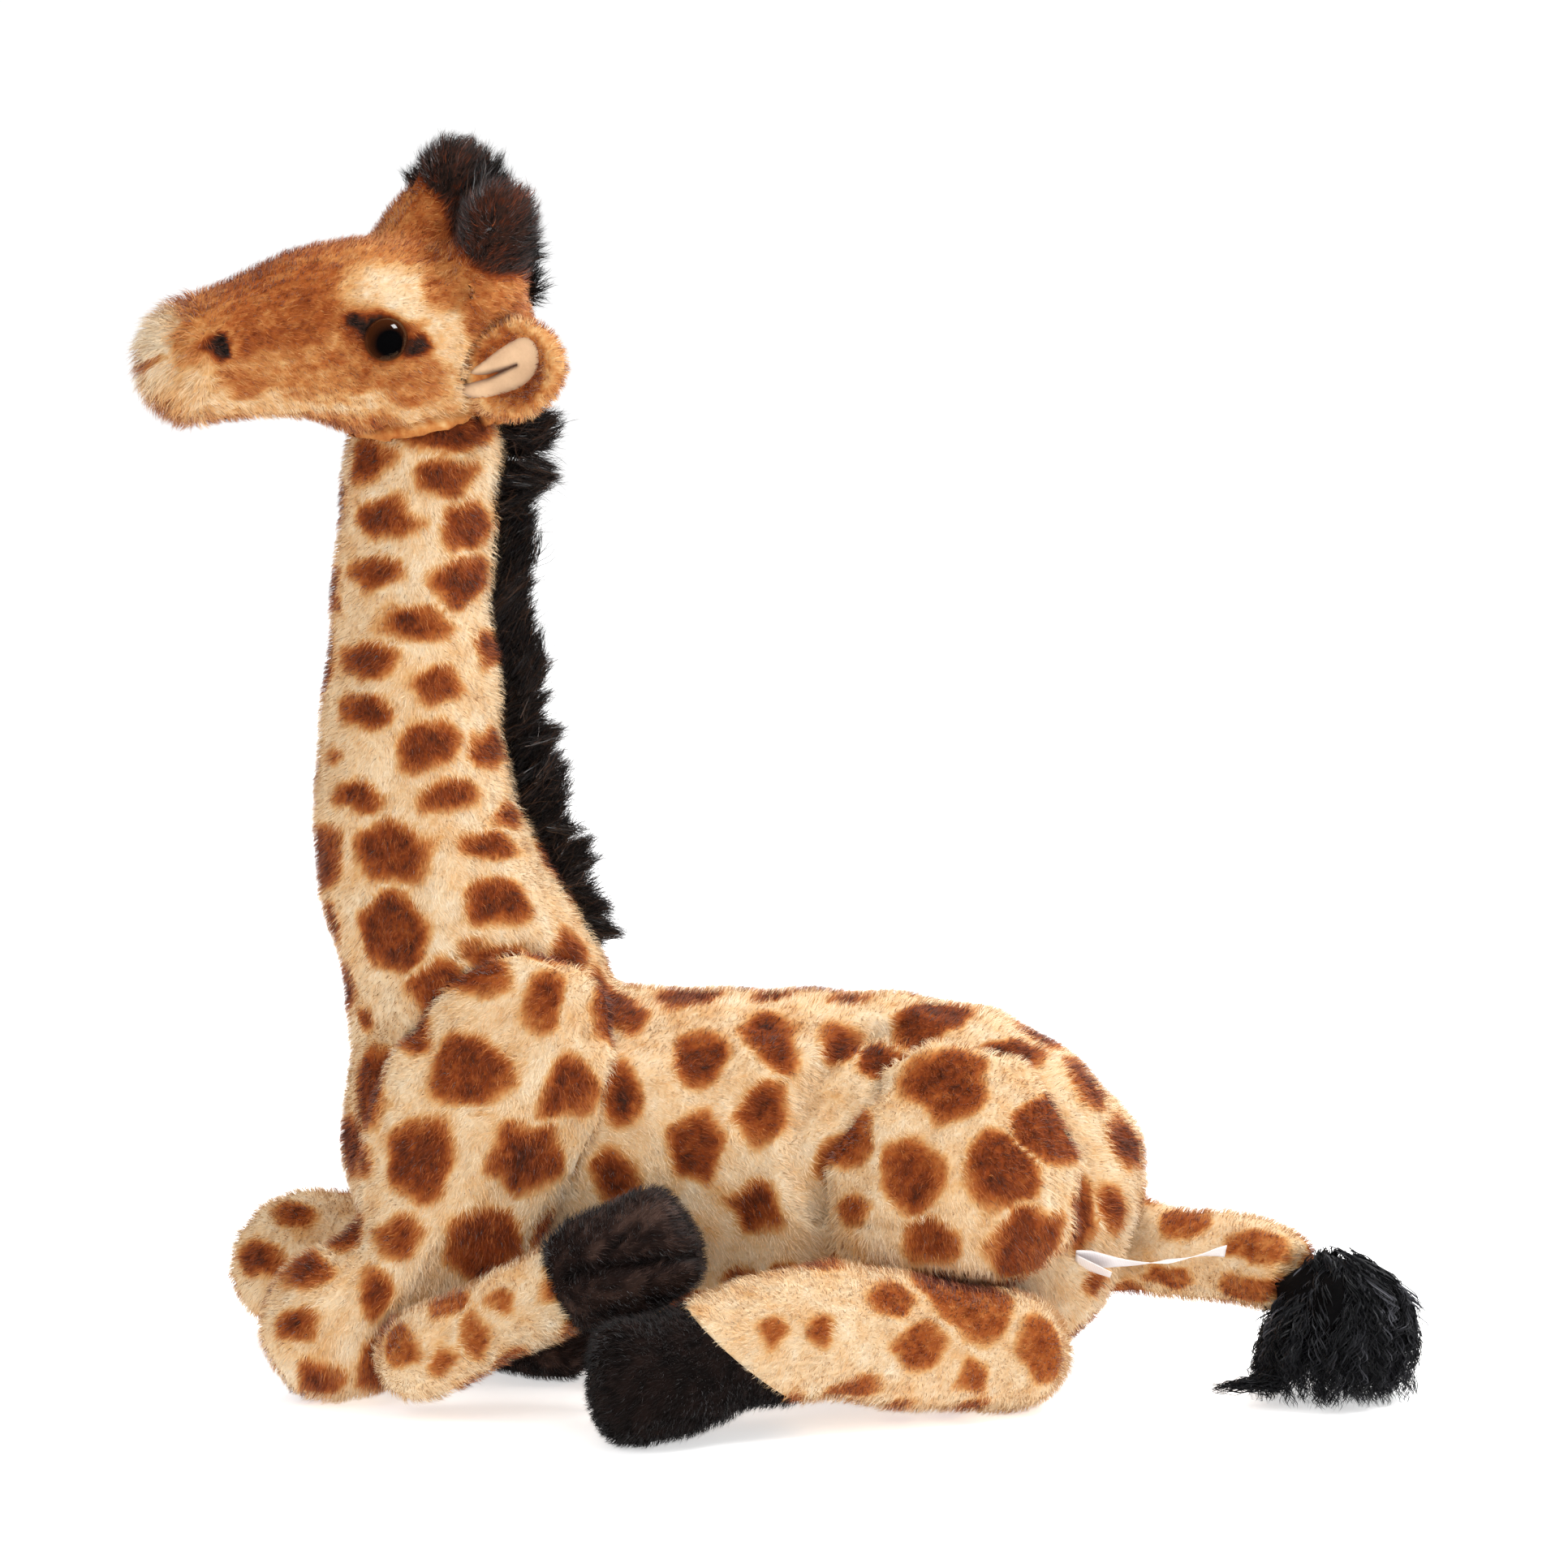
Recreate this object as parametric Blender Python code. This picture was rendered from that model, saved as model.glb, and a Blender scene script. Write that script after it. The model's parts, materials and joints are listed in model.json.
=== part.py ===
"""Stuffed giraffe lying down with its legs folded: every sewn piece, and every joint that flexes.

Metres, +Z up. The animal faces -X, its near side is -Y, and it lies on Z = 0.
Each stuffed piece is a soft form: rounded sections swept along a smooth path, trimmed where
it is sewn to a larger one. Pieces that flex are parented to an empty on their joint's axis.
"""
from dataclasses import dataclass
from math import asin, ceil, cos, pi, radians, sin

import bmesh
import bpy
from mathutils import Matrix, Vector

# Fits
SEAM_GAP = 0.0003          # between two pieces that are sewn together
MOVING_GAP = 0.0005        # between a piece that flexes and what it flexes in
FLOOR_FLAT = 0.0005        # how much the stuffing flattens on the floor
CUT_OVERRUN = 0.050        # how far a cutter runs past what it cuts

# Torso
TORSO_LENGTH = 0.234
TORSO_WIDTH = 0.092
TORSO_HEIGHT = 0.1175
CHEST_ROUND = 0.012        # length of the rounded chest end
RUMP_ROUND = 0.0167        # length of the rounded rump end

# Neck, and the ball at its top that the head is sewn over
NECK_HEIGHT = 0.178        # from its seam inside the shoulders to the ball's centre
NECK_BASE_DEPTH = 0.082    # front to back
NECK_BASE_WIDTH = 0.066
NECK_BALL_RADIUS = 0.0233
NECK_BALL_SET_FORWARD = 0.0915  # ball's centre ahead of the torso's middle
MANE_HEIGHT = 0.0105       # how far the backing of the mane stands off the neck
MANE_WIDTH = 0.012

# Head, in its own frame: muzzle to -X, origin at the centre of the neck's ball
HEAD_YAW = radians(18)     # the face looks towards the near side
HEAD_ROLL = radians(11)    # the near side hangs lower
HEAD_LENGTH = 0.118
HEAD_WIDTH = 0.052
HEAD_HEIGHT = 0.062
MUZZLE_ROUND = 0.012
SKULL_ROUND = 0.010
CREST_HEIGHT = 0.009
CREST_WIDTH = 0.011

# Ossicones, stuffed stems with a furry cap
OSSICONE_RADIUS = 0.0105
OSSICONE_BASE_RADIUS = 0.0122
OSSICONE_CAP_RADIUS = 0.0125
OSSICONE_CAP_LENGTH = 0.026

# Ears
EAR_LENGTH = 0.033
EAR_WIDTH = 0.028
EAR_THICKNESS = 0.009
LINING_LENGTH = 0.022
LINING_WIDTH = 0.017
LINING_THICKNESS = 0.0014

# Safety eyes: a dome on a shank, locked inside the head by a washer
EYE_RADIUS = 0.0065
EYE_DOME_HEIGHT = 0.0048
EYE_SEAT_DEPTH = 0.0012
EYE_SHANK_RADIUS = 0.0020
EYE_SHANK_LENGTH = 0.0105
EYE_AHEAD = 0.0205         # ahead of the neck's ball
EYE_ABOVE = 0.0385         # above the neck's ball
WASHER_RADIUS = 0.0070
WASHER_THICKNESS = 0.0015
WASHER_DEPTH = 0.0062      # from the eye's back to the washer

# Front legs
KNEE_RADIUS = 0.0235
KNEE_WIDTH = 0.042
KNEE_AHEAD = {"near": 0.001, "far": 0.015}   # knee's centre ahead of the chest
SHOULDER_RADIUS = 0.037
SHOULDER_WIDTH = 0.034
SHIN_RADIUS = 0.0142
NEAR_HINGE_BACK = 0.026    # the near knee's hinge behind its centre
NEAR_HINGE_OUT = 0.023
NEAR_HINGE_HEIGHT = 0.019
NEAR_SHIN_LENGTH = 0.047   # from the knee's hinge to the hoof's seam
NEAR_SHIN_RISE = radians(26)
NEAR_SHIN_SPREAD = radians(4)
FRONT_HOOF_LENGTH = 0.042
FRONT_HOOF_RADIUS = 0.0185
FAR_HINGE_BACK = 0.018
FAR_HINGE_IN = 0.008
FAR_SHIN_LENGTH = 0.052
FAR_SHIN_TUCK = radians(38)    # turned in under the chest
FAR_HOOF_LENGTH = 0.036
FAR_HOOF_RADIUS = 0.0142

# Hind legs
THIGH_LENGTH = 0.090       # along the torso
THIGH_HEIGHT = 0.080
THIGH_WIDTH = 0.050
HOCK_RADIUS = 0.0185
SHANK_RADIUS = 0.0200
SHANK_LENGTH = 0.087       # from the hock's hinge to the hoof's seam
SHANK_SPREAD = radians(21.5)
HIND_HOOF_LENGTH = 0.042
HIND_HOOF_RADIUS = 0.0195
HOOF_CLEFT = 0.0030        # depth of the crease between the two toes

# Tail
TAIL_RADIUS = 0.0125
TAIL_LENGTH = 0.062
TUFT_LENGTH = 0.050
TUFT_RADIUS = 0.0220
TUFT_LIFT = 0.001          # the tuft just clears the floor
LABEL_LENGTH = 0.044
LABEL_WIDTH = 0.011
LABEL_THICKNESS = 0.0008
LABEL_TURN = radians(-10)

# How far each joint flexes from rest, in degrees; record.json states the same ranges
NOD_RANGE = (-12, 15)
EAR_RANGE = (-15, 25)
NEAR_KNEE_RANGE = (0, 30)
FAR_KNEE_RANGE = (0, 36)
HOCK_RANGE = (0, 32)
TAIL_RANGE = (-4, 60)
SWEEP_STEP = 16            # a swept clearance is sampled at least this often
SWEEP_MERGE = 0.0012       # sampled points closer than this count as one

SIDES = {"near": -1, "far": 1}
UP = Vector((0, 0, 1))
ALONG = Vector((1, 0, 0))
ACROSS = Vector((0, 1, 0))

MATERIALS = {  # colour, roughness
    "spotted_plush": ((0.72, 0.50, 0.26), 0.95),
    "head_plush": ((0.55, 0.24, 0.07), 0.95),
    "dark_fur": ((0.020, 0.016, 0.014), 0.90),
    "hoof_plush": ((0.022, 0.014, 0.012), 0.95),
    "ear_velour": ((0.66, 0.46, 0.26), 0.90),
    "eye_plastic": ((0.008, 0.008, 0.009), 0.08),
    "washer_plastic": ((0.75, 0.75, 0.72), 0.45),
    "label_satin": ((0.85, 0.85, 0.83), 0.40),
}


# Soft forms
@dataclass
class Form:
    """Rounded sections swept along a smooth path, with a rounded cap at each end."""
    centres: list          # section centres
    across: list           # half sizes along `side`
    high: list             # half sizes square to `side` and to the path
    caps: tuple            # lengths of the first and the last cap
    side: Vector = ACROSS
    sides: int = 20
    steps: int = 10
    squareness: float = 2.0
    cleft: float = 0.0     # depth of the crease that splits the last cap into two toes
    frame: Matrix = Matrix.Identity(4)


CAP_RINGS = 3              # rings of a rounded cap
FLAT_CAP = 0.001           # a shorter cap is a flat end with a soft rim
FLAT_CAP_RINGS = 2
BOXY_SHARE = 2.2           # how square the torso's and the head's sections are; 2 is round
CLEFT_SPREAD_SHARE = 0.5   # width of the crease, as a share of the section's angle
CLEFT_START_SHARE = 0.5    # where along the form the crease begins
SLOPE_STEP_SHARE = 0.01    # how far either side of a section its heading is read
POINTED_SHARE = 1e-6       # a ring shrunk below this is a single point


def smooth_value(values, t):
    """Value at t of a smooth curve through evenly spaced stations, with t from 0 to 1."""
    last = len(values) - 1
    place = min(max(t, 0.0), 1.0) * last
    index = min(int(place), last - 1)
    f = place - index
    a = values[max(index - 1, 0)]
    b = values[index]
    c = values[index + 1]
    d = values[min(index + 2, last)]
    return 0.5 * (2 * b + (c - a) * f + (2 * a - 5 * b + 4 * c - d) * f ** 2
                  + (3 * b - a - 3 * c + d) * f ** 3)


def sections(form, grow):
    """Centre, half sizes and both directions of every ring, from the first cap to the last."""
    rings = []

    def frame_at(t):
        heading = (smooth_value(form.centres, t + SLOPE_STEP_SHARE)
                   - smooth_value(form.centres, t - SLOPE_STEP_SHARE))
        heading.normalize()
        lift = heading.cross(form.side).normalized()
        return heading, lift.cross(heading), lift

    def cap(t, length, outward):
        heading, across, lift = frame_at(t)
        centre = smooth_value(form.centres, t)
        rounds = []
        count = CAP_RINGS if length > FLAT_CAP else FLAT_CAP_RINGS
        for ring in range(1, count + 1):
            angle = ring / count * pi / 2
            reach = centre + heading * (outward * (length + grow) * sin(angle))
            rounds.append((reach, cos(angle), across, lift, t))
        return rounds

    for entry in reversed(cap(0.0, form.caps[0], -1)):
        rings.append(entry)
    for step in range(form.steps + 1):
        t = step / form.steps
        heading, across, lift = frame_at(t)
        rings.append((smooth_value(form.centres, t), 1.0, across, lift, t))
    rings.extend(cap(1.0, form.caps[1], 1))
    return rings


def soft_mesh(form, grow=0.0):
    """Closed bmesh of a form, its surface pushed out by `grow`."""
    bm = bmesh.new()
    rows = []
    for centre, shrink, across, lift, t in sections(form, grow):
        if shrink < POINTED_SHARE:
            rows.append([bm.verts.new(centre)])
            continue
        half_across = (smooth_value(form.across, t) + grow) * shrink
        half_high = (smooth_value(form.high, t) + grow) * shrink
        row = []
        for k in range(form.sides):
            angle = 2 * pi * k / form.sides
            u = cos(angle)
            v = sin(angle)
            power = 2.0 / form.squareness
            u = abs(u) ** power * (1 if u >= 0 else -1)
            v = abs(v) ** power * (1 if v >= 0 else -1)
            point = centre + across * (half_across * u) + lift * (half_high * v)
            if form.cleft and t > CLEFT_START_SHARE:
                opened = (t - CLEFT_START_SHARE) / (1 - CLEFT_START_SHARE)
                crease = max(0.0, 1 - abs(v) / CLEFT_SPREAD_SHARE) * opened
                point -= (point - centre).normalized() * form.cleft * crease * shrink
            row.append(bm.verts.new(point))
        rows.append(row)
    for first, second in zip(rows, rows[1:]):
        for k in range(form.sides):
            n = (k + 1) % form.sides
            if len(first) == 1:
                bm.faces.new((first[0], second[k], second[n]))
            elif len(second) == 1:
                bm.faces.new((first[k], second[0], first[n]))
            else:
                bm.faces.new((first[k], second[k], second[n]))
                bm.faces.new((first[k], second[n], first[n]))
    bmesh.ops.recalc_face_normals(bm, faces=bm.faces)
    bmesh.ops.transform(bm, matrix=form.frame, verts=bm.verts)
    return bm


def material(slot):
    """The Principled material of a slot, made once."""
    made = bpy.data.materials.get(slot)
    if made is None:
        colour, roughness = MATERIALS[slot]
        made = bpy.data.materials.new(slot)
        made.use_nodes = True
        shader = made.node_tree.nodes["Principled BSDF"]
        shader.inputs["Base Color"].default_value = (*colour, 1.0)
        shader.inputs["Roughness"].default_value = roughness
        shader.inputs["Metallic"].default_value = 0.0
        made.diffuse_color = (*colour, 1.0)
    return made


def add_object(name, bm, matrix=None):
    """Object of a bmesh given in world places, moved by a matrix where one is given."""
    mesh = bpy.data.meshes.new(name)
    if matrix is not None:
        bmesh.ops.transform(bm, matrix=matrix, verts=bm.verts)
    bm.to_mesh(mesh)
    bm.free()
    mesh.shade_smooth()
    made = bpy.data.objects.new(name, mesh)
    bpy.context.scene.collection.objects.link(made)
    return made


def add_piece(name, bm, slot, axis=None, matrix=None):
    """A piece of the toy, parented to the empty of its joint where it has one."""
    piece = add_object(name, bm, matrix)
    piece.data.materials.append(material(slot))
    if axis is not None:
        piece.data.transform(Matrix.Translation(-world_place(axis)))
        piece.parent = axis
    return piece


def add_axis(name, place, parent=None):
    """Empty that marks a joint's centre."""
    axis = bpy.data.objects.new(name, None)
    axis.empty_display_size = SEAM_GAP
    bpy.context.scene.collection.objects.link(axis)
    axis.parent = parent
    axis.location = place - (world_place(parent) if parent else Vector())
    return axis


def world_place(item):
    """Where an unrotated object under unrotated parents stands."""
    place = item.location.copy()
    while item.parent is not None:
        item = item.parent
        place += item.location
    return place


def cut_with(target, bm, matrix=None):
    """Cut a mesh given in world places out of a piece."""
    cutter = add_object("cutter_of_" + target.name, bm, matrix)
    cutter.hide_render = True
    cutter.display_type = "WIRE"
    cut = target.modifiers.new("cut", "BOOLEAN")
    cut.operation = "DIFFERENCE"
    cut.solver = "EXACT"
    cut.object = cutter


def trim(target, form, grow=SEAM_GAP):
    """Trim a piece where it is sewn to a larger form."""
    cut_with(target, soft_mesh(form, grow))


def turn_about(place, axis, angle):
    """Matrix of a turn, in degrees, about an axis through a place."""
    return Matrix.Translation(place) @ Matrix.Rotation(radians(angle), 4, axis) @ Matrix.Translation(-place)


def angles_over(limits):
    """Evenly spaced angles from rest to each end of a joint's range."""
    angles = {0}
    for end in limits:
        count = ceil(abs(end) / SWEEP_STEP)
        angles.update(end * (k + 1) / count for k in range(count))
    return sorted(angles)


def clear_sweep(target, forms, hinge, backwards=False):
    """Cut out of a piece the hull of the space that forms take up as they turn on a hinge."""
    place, axis, limits = hinge
    hull = bmesh.new()
    for form in forms:
        grown = soft_mesh(form, MOVING_GAP)
        for angle in angles_over(limits):
            turn = turn_about(place, axis, -angle if backwards else angle)
            for vertex in grown.verts:
                hull.verts.new(turn @ vertex.co)
        grown.free()
    bmesh.ops.remove_doubles(hull, verts=hull.verts, dist=SWEEP_MERGE)
    made = bmesh.ops.convex_hull(hull, input=hull.verts)
    inside = {item for item in made["geom_interior"] + made["geom_unused"]
              if isinstance(item, bmesh.types.BMVert)}
    bmesh.ops.delete(hull, geom=list(inside), context="VERTS")
    bmesh.ops.recalc_face_normals(hull, faces=hull.faces)
    cut_with(target, hull)


def flatten_on_floor(target):
    """Cut away what lies below the floor."""
    bm = bmesh.new()
    bmesh.ops.create_cube(bm, size=1.0)
    span = TORSO_LENGTH + NECK_HEIGHT + TAIL_LENGTH + TUFT_LENGTH + CUT_OVERRUN
    bmesh.ops.scale(bm, vec=(2 * span, 2 * span, CUT_OVERRUN), verts=bm.verts)
    bmesh.ops.translate(bm, vec=(0, 0, -CUT_OVERRUN / 2), verts=bm.verts)
    cut_with(target, bm)


def turned_mesh(profile, sides):
    """Solid of a closed half profile of (radius, height) points turned about Z."""
    bm = bmesh.new()
    columns = []
    for radius, height in profile:
        if radius == 0:
            columns.append([bm.verts.new((0, 0, height))])
        else:
            columns.append([bm.verts.new((radius * cos(2 * pi * k / sides),
                                          radius * sin(2 * pi * k / sides), height))
                            for k in range(sides)])
    closed = profile[0][0] > 0
    pairs = list(zip(columns, columns[1:]))
    if closed:
        pairs.append((columns[-1], columns[0]))
    for first, second in pairs:
        for k in range(sides):
            n = (k + 1) % sides
            ring = [first[k % len(first)], second[k % len(second)],
                    second[n % len(second)], first[n % len(first)]]
            unique = list(dict.fromkeys(ring))
            if len(unique) > 2:
                bm.faces.new(unique)
    bmesh.ops.recalc_face_normals(bm, faces=bm.faces)
    return bm


# Torso
TORSO_SHARES = (  # along the length, underside and top by height, half width by width
    (0.05, 0.374, 0.987, 0.36),
    (0.20, 0.306, 1.000, 0.457),
    (0.35, 0.225, 0.991, 0.489),
    (0.50, 0.075, 0.991, 0.500),
    (0.65, 0.000, 0.974, 0.505),
    (0.80, 0.000, 0.928, 0.500),
    (0.93, 0.051, 0.698, 0.413),
)


def on_torso(along_share, out_share, up_share):
    """Place in the torso's box: from chest to rump, from the middle outwards, from the floor up."""
    return Vector(((along_share - 0.5) * TORSO_LENGTH, out_share * TORSO_WIDTH,
                   up_share * TORSO_HEIGHT))


def torso_form():
    centres = []
    halves = []
    for along, underside, top, half_width in TORSO_SHARES:
        centre = on_torso(along, 0, (underside + top) / 2)
        centre.z -= FLOOR_FLAT / 2
        centres.append(centre)
        halves.append((top - underside) / 2 * TORSO_HEIGHT + FLOOR_FLAT / 2)
    widths = [row[3] * TORSO_WIDTH for row in TORSO_SHARES]
    return Form(centres, widths, halves, (CHEST_ROUND, RUMP_ROUND),
                sides=20, steps=11, squareness=BOXY_SHARE)


# Neck and mane
NECK_SEAM_SHARE = 0.851    # height of the neck's seam in the shoulders
NECK_SEAM_ROUND_SHARE = 0.05
NECK_SHARES = (  # up the neck, set back from the ball by depth, half depth, half width
    (0.000, 0.201, 0.500, 0.500),
    (0.169, 0.104, 0.463, 0.492),
    (0.337, -0.038, 0.398, 0.455),
    (0.506, -0.055, 0.346, 0.417),
    (0.674, -0.055, 0.305, 0.379),
    (0.843, -0.041, 0.291, 0.364),
)
NECK_TOP_STOP_SHARES = (0.80, 0.90, 1.00)
MANE_STOP_SHARES = (0.21, 0.35, 0.49, 0.64, 0.79, 0.94)


def neck_ball():
    """Centre of the ball at the neck's top, which the head turns on."""
    return Vector((-NECK_BALL_SET_FORWARD, 0, NECK_SEAM_SHARE * TORSO_HEIGHT + NECK_HEIGHT))


def neck_form():
    ball = neck_ball()
    centres = [ball + Vector((back * NECK_BASE_DEPTH, 0, (up - 1) * NECK_HEIGHT))
               for up, back, deep, wide in NECK_SHARES] + [ball]
    widths = [wide * NECK_BASE_WIDTH for up, back, deep, wide in NECK_SHARES]
    depths = [deep * NECK_BASE_DEPTH for up, back, deep, wide in NECK_SHARES]
    return Form(centres, widths + [NECK_BALL_RADIUS], depths + [NECK_BALL_RADIUS],
                (NECK_SEAM_ROUND_SHARE * TORSO_HEIGHT, NECK_BALL_RADIUS), sides=18, steps=10)


def neck_top_form():
    """The ball and the stretch of neck just under it, which the head clears as it nods."""
    neck = neck_form()
    centres = [smooth_value(neck.centres, t) for t in NECK_TOP_STOP_SHARES]
    radii = [max(smooth_value(neck.high, t), smooth_value(neck.across, t))
             for t in NECK_TOP_STOP_SHARES]
    return Form(centres, radii, radii, (SEAM_GAP, NECK_BALL_RADIUS), sides=18, steps=2)


def mane_form():
    """Backing strip of the mane, standing up along the back of the neck."""
    neck = neck_form()
    centres = [smooth_value(neck.centres, t) + ALONG * smooth_value(neck.high, t)
               for t in MANE_STOP_SHARES]
    count = len(centres)
    return Form(centres, [MANE_WIDTH / 2] * count, [MANE_HEIGHT] * count,
                (MANE_HEIGHT, MANE_HEIGHT / 2), sides=8, steps=8)


# Head and what is sewn to it
HEAD_SHARES = (  # back from the ball by length, middle and half height by height, half width
    (-0.636, 0.411, 0.274, 0.337),
    (-0.483, 0.484, 0.331, 0.346),
    (-0.331, 0.540, 0.411, 0.404),
    (-0.169, 0.540, 0.476, 0.490),
    (0.000, 0.484, 0.492, 0.500),
    (0.169, 0.452, 0.355, 0.385),
)
CREST_SHARES = (  # back from the ball by length, up by height
    (0.080, 0.93),
    (0.135, 0.87),
    (0.185, 0.79),
    (0.220, 0.70),
)
OSSICONE_SHARES = {  # place of the base and of the cap's centre, by length, width and height
    "near": ((0.081, 0.25, 0.774), (0.129, 0.27, 1.139)),
    "far": ((-0.031, 0.25, 0.844), (0.067, 0.27, 1.242)),
}
OSSICONE_CROWN_SHARE = 0.8  # radius of the cap near its top
EAR_ROOT_SHARES = (0.068, 0.423, 0.435)
EAR_SPREAD = 38            # degrees from straight back
EAR_OUTLINE_SHARES = (0.30, 0.50, 0.47, 0.30)    # half width along the ear
EAR_BODY_SHARES = (0.50, 0.50, 0.48, 0.36)       # half thickness along the ear
LINING_START_SHARE = 0.25
LINING_OUTLINE_SHARES = (0.30, 0.50, 0.40)       # half width along the lining
EYE_OUT_SHARE = 0.483      # where the cheek is, by head width
EYE_SIDES = 16
EYE_DOME_RINGS = 4


def head_frame():
    return (Matrix.Translation(neck_ball()) @ Matrix.Rotation(HEAD_YAW, 4, "Z")
            @ Matrix.Rotation(HEAD_ROLL, 4, "X"))


def in_head(back_share, out_share, up_share):
    """Place in the head's own frame."""
    return Vector((back_share * HEAD_LENGTH, out_share * HEAD_WIDTH, up_share * HEAD_HEIGHT))


def head_form():
    return Form([in_head(back, 0, middle) for back, middle, high, wide in HEAD_SHARES],
                [wide * HEAD_WIDTH for back, middle, high, wide in HEAD_SHARES],
                [high * HEAD_HEIGHT for back, middle, high, wide in HEAD_SHARES],
                (MUZZLE_ROUND, SKULL_ROUND), sides=18, steps=11, squareness=BOXY_SHARE,
                frame=head_frame())


def crest_form():
    centres = [in_head(back, 0, up) for back, up in CREST_SHARES]
    count = len(centres)
    return Form(centres, [CREST_WIDTH / 2] * count, [CREST_HEIGHT] * count,
                (CREST_HEIGHT / 2, CREST_HEIGHT / 2), sides=8, steps=6, frame=head_frame())


def ossicone_forms(side):
    """Stem and furry cap of one ossicone."""
    base_share, tip_share = OSSICONE_SHARES[side]
    sign = SIDES[side]
    base = in_head(base_share[0], sign * base_share[1], base_share[2])
    tip = in_head(tip_share[0], sign * tip_share[1], tip_share[2])
    heading = (tip - base).normalized()
    seam = tip - heading * OSSICONE_CAP_LENGTH / 2
    rim = SEAM_GAP * 2
    radii = [OSSICONE_BASE_RADIUS, (OSSICONE_BASE_RADIUS + OSSICONE_RADIUS) / 2, OSSICONE_RADIUS]
    stem = Form([base, (base + seam) / 2, seam - heading * (SEAM_GAP + rim)],
                radii, radii, (OSSICONE_BASE_RADIUS / 2, rim), sides=12, steps=2,
                frame=head_frame())
    crown = tip + heading * (OSSICONE_CAP_LENGTH / 2 - OSSICONE_CAP_RADIUS / 2)
    radii = [OSSICONE_RADIUS, OSSICONE_CAP_RADIUS, OSSICONE_CAP_RADIUS * OSSICONE_CROWN_SHARE]
    cap = Form([seam + heading * rim, tip, crown], radii, radii,
               (rim, OSSICONE_CAP_RADIUS / 2), sides=12, steps=4, frame=head_frame())
    return stem, cap


def ear_root(side):
    back, out, up = EAR_ROOT_SHARES
    return head_frame() @ in_head(back, SIDES[side] * out, up)


def ear_heading(side):
    turn = SIDES[side] * radians(EAR_SPREAD) + HEAD_YAW
    return Vector((cos(turn), sin(turn), 0))


def ear_forms(side):
    """Ear and the lining on its open side; the root is round about the hinge."""
    root = ear_root(side)
    heading = ear_heading(side)
    tip_round = EAR_WIDTH / 4
    reach = EAR_LENGTH - EAR_THICKNESS / 2 - tip_round
    count = len(EAR_OUTLINE_SHARES)
    centres = [root + heading * (reach * k / (count - 1)) for k in range(count)]
    ear = Form(centres, [share * EAR_WIDTH for share in EAR_OUTLINE_SHARES],
               [share * EAR_THICKNESS for share in EAR_BODY_SHARES],
               (EAR_THICKNESS / 2, tip_round), side=UP, sides=12, steps=5)
    outwards = Vector((heading.y, -heading.x, 0)) * -SIDES[side]
    raised = outwards * (LINING_THICKNESS + EAR_THICKNESS / 4)
    start = root + heading * (LINING_START_SHARE * EAR_LENGTH + LINING_WIDTH / 4) + raised
    run = LINING_LENGTH - LINING_WIDTH / 2
    lining = Form([start, start + heading * run / 2, start + heading * run],
                  [share * LINING_WIDTH for share in LINING_OUTLINE_SHARES],
                  [EAR_THICKNESS / 4 + LINING_THICKNESS] * 3,
                  (LINING_WIDTH / 4, LINING_WIDTH / 4), side=UP, sides=10, steps=2)
    return ear, lining


def eye_frame(side):
    """Frame of an eye: +Z looks out of the head, and Z = 0 is the back of the dome."""
    sign = SIDES[side]
    seat = Vector((-EYE_AHEAD, sign * (EYE_OUT_SHARE * HEAD_WIDTH - EYE_SEAT_DEPTH), EYE_ABOVE))
    return head_frame() @ Matrix.Translation(seat) @ Matrix.Rotation(-sign * pi / 2, 4, "X")


def eye_mesh():
    """Dome on its shank."""
    sphere = (EYE_RADIUS ** 2 + EYE_DOME_HEIGHT ** 2) / (2 * EYE_DOME_HEIGHT)
    spread = asin(min(1.0, EYE_RADIUS / sphere))
    if EYE_DOME_HEIGHT > EYE_RADIUS:
        spread = pi - spread
    profile = [(0, EYE_DOME_HEIGHT)]
    for k in range(1, EYE_DOME_RINGS + 1):
        angle = spread * k / EYE_DOME_RINGS
        profile.append((sphere * sin(angle), EYE_DOME_HEIGHT - sphere * (1 - cos(angle))))
    profile.append((EYE_SHANK_RADIUS, 0))
    profile.append((EYE_SHANK_RADIUS, -EYE_SHANK_LENGTH))
    profile.append((0, -EYE_SHANK_LENGTH))
    return turned_mesh(profile, EYE_SIDES)


def washer_mesh():
    """Ring that locks the shank inside the head."""
    bore = EYE_SHANK_RADIUS + SEAM_GAP
    back = -WASHER_DEPTH - WASHER_THICKNESS
    return turned_mesh([(bore, -WASHER_DEPTH), (WASHER_RADIUS, -WASHER_DEPTH),
                        (WASHER_RADIUS, back), (bore, back)], EYE_SIDES)


def eye_pocket_mesh():
    """Room for the eye's seat, its shank and the washer, open to the outside round the shank."""
    seat = EYE_RADIUS + SEAM_GAP
    bore = EYE_SHANK_RADIUS + 2 * SEAM_GAP
    ring = WASHER_RADIUS + SEAM_GAP
    return turned_mesh([(0, CUT_OVERRUN), (seat, CUT_OVERRUN), (seat, -SEAM_GAP),
                        (bore, -SEAM_GAP), (bore, -WASHER_DEPTH + SEAM_GAP),
                        (ring, -WASHER_DEPTH + SEAM_GAP),
                        (ring, -WASHER_DEPTH - WASHER_THICKNESS - SEAM_GAP),
                        (bore, -WASHER_DEPTH - WASHER_THICKNESS - SEAM_GAP),
                        (bore, -EYE_SHANK_LENGTH - SEAM_GAP),
                        (0, -EYE_SHANK_LENGTH - SEAM_GAP)], EYE_SIDES)


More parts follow.
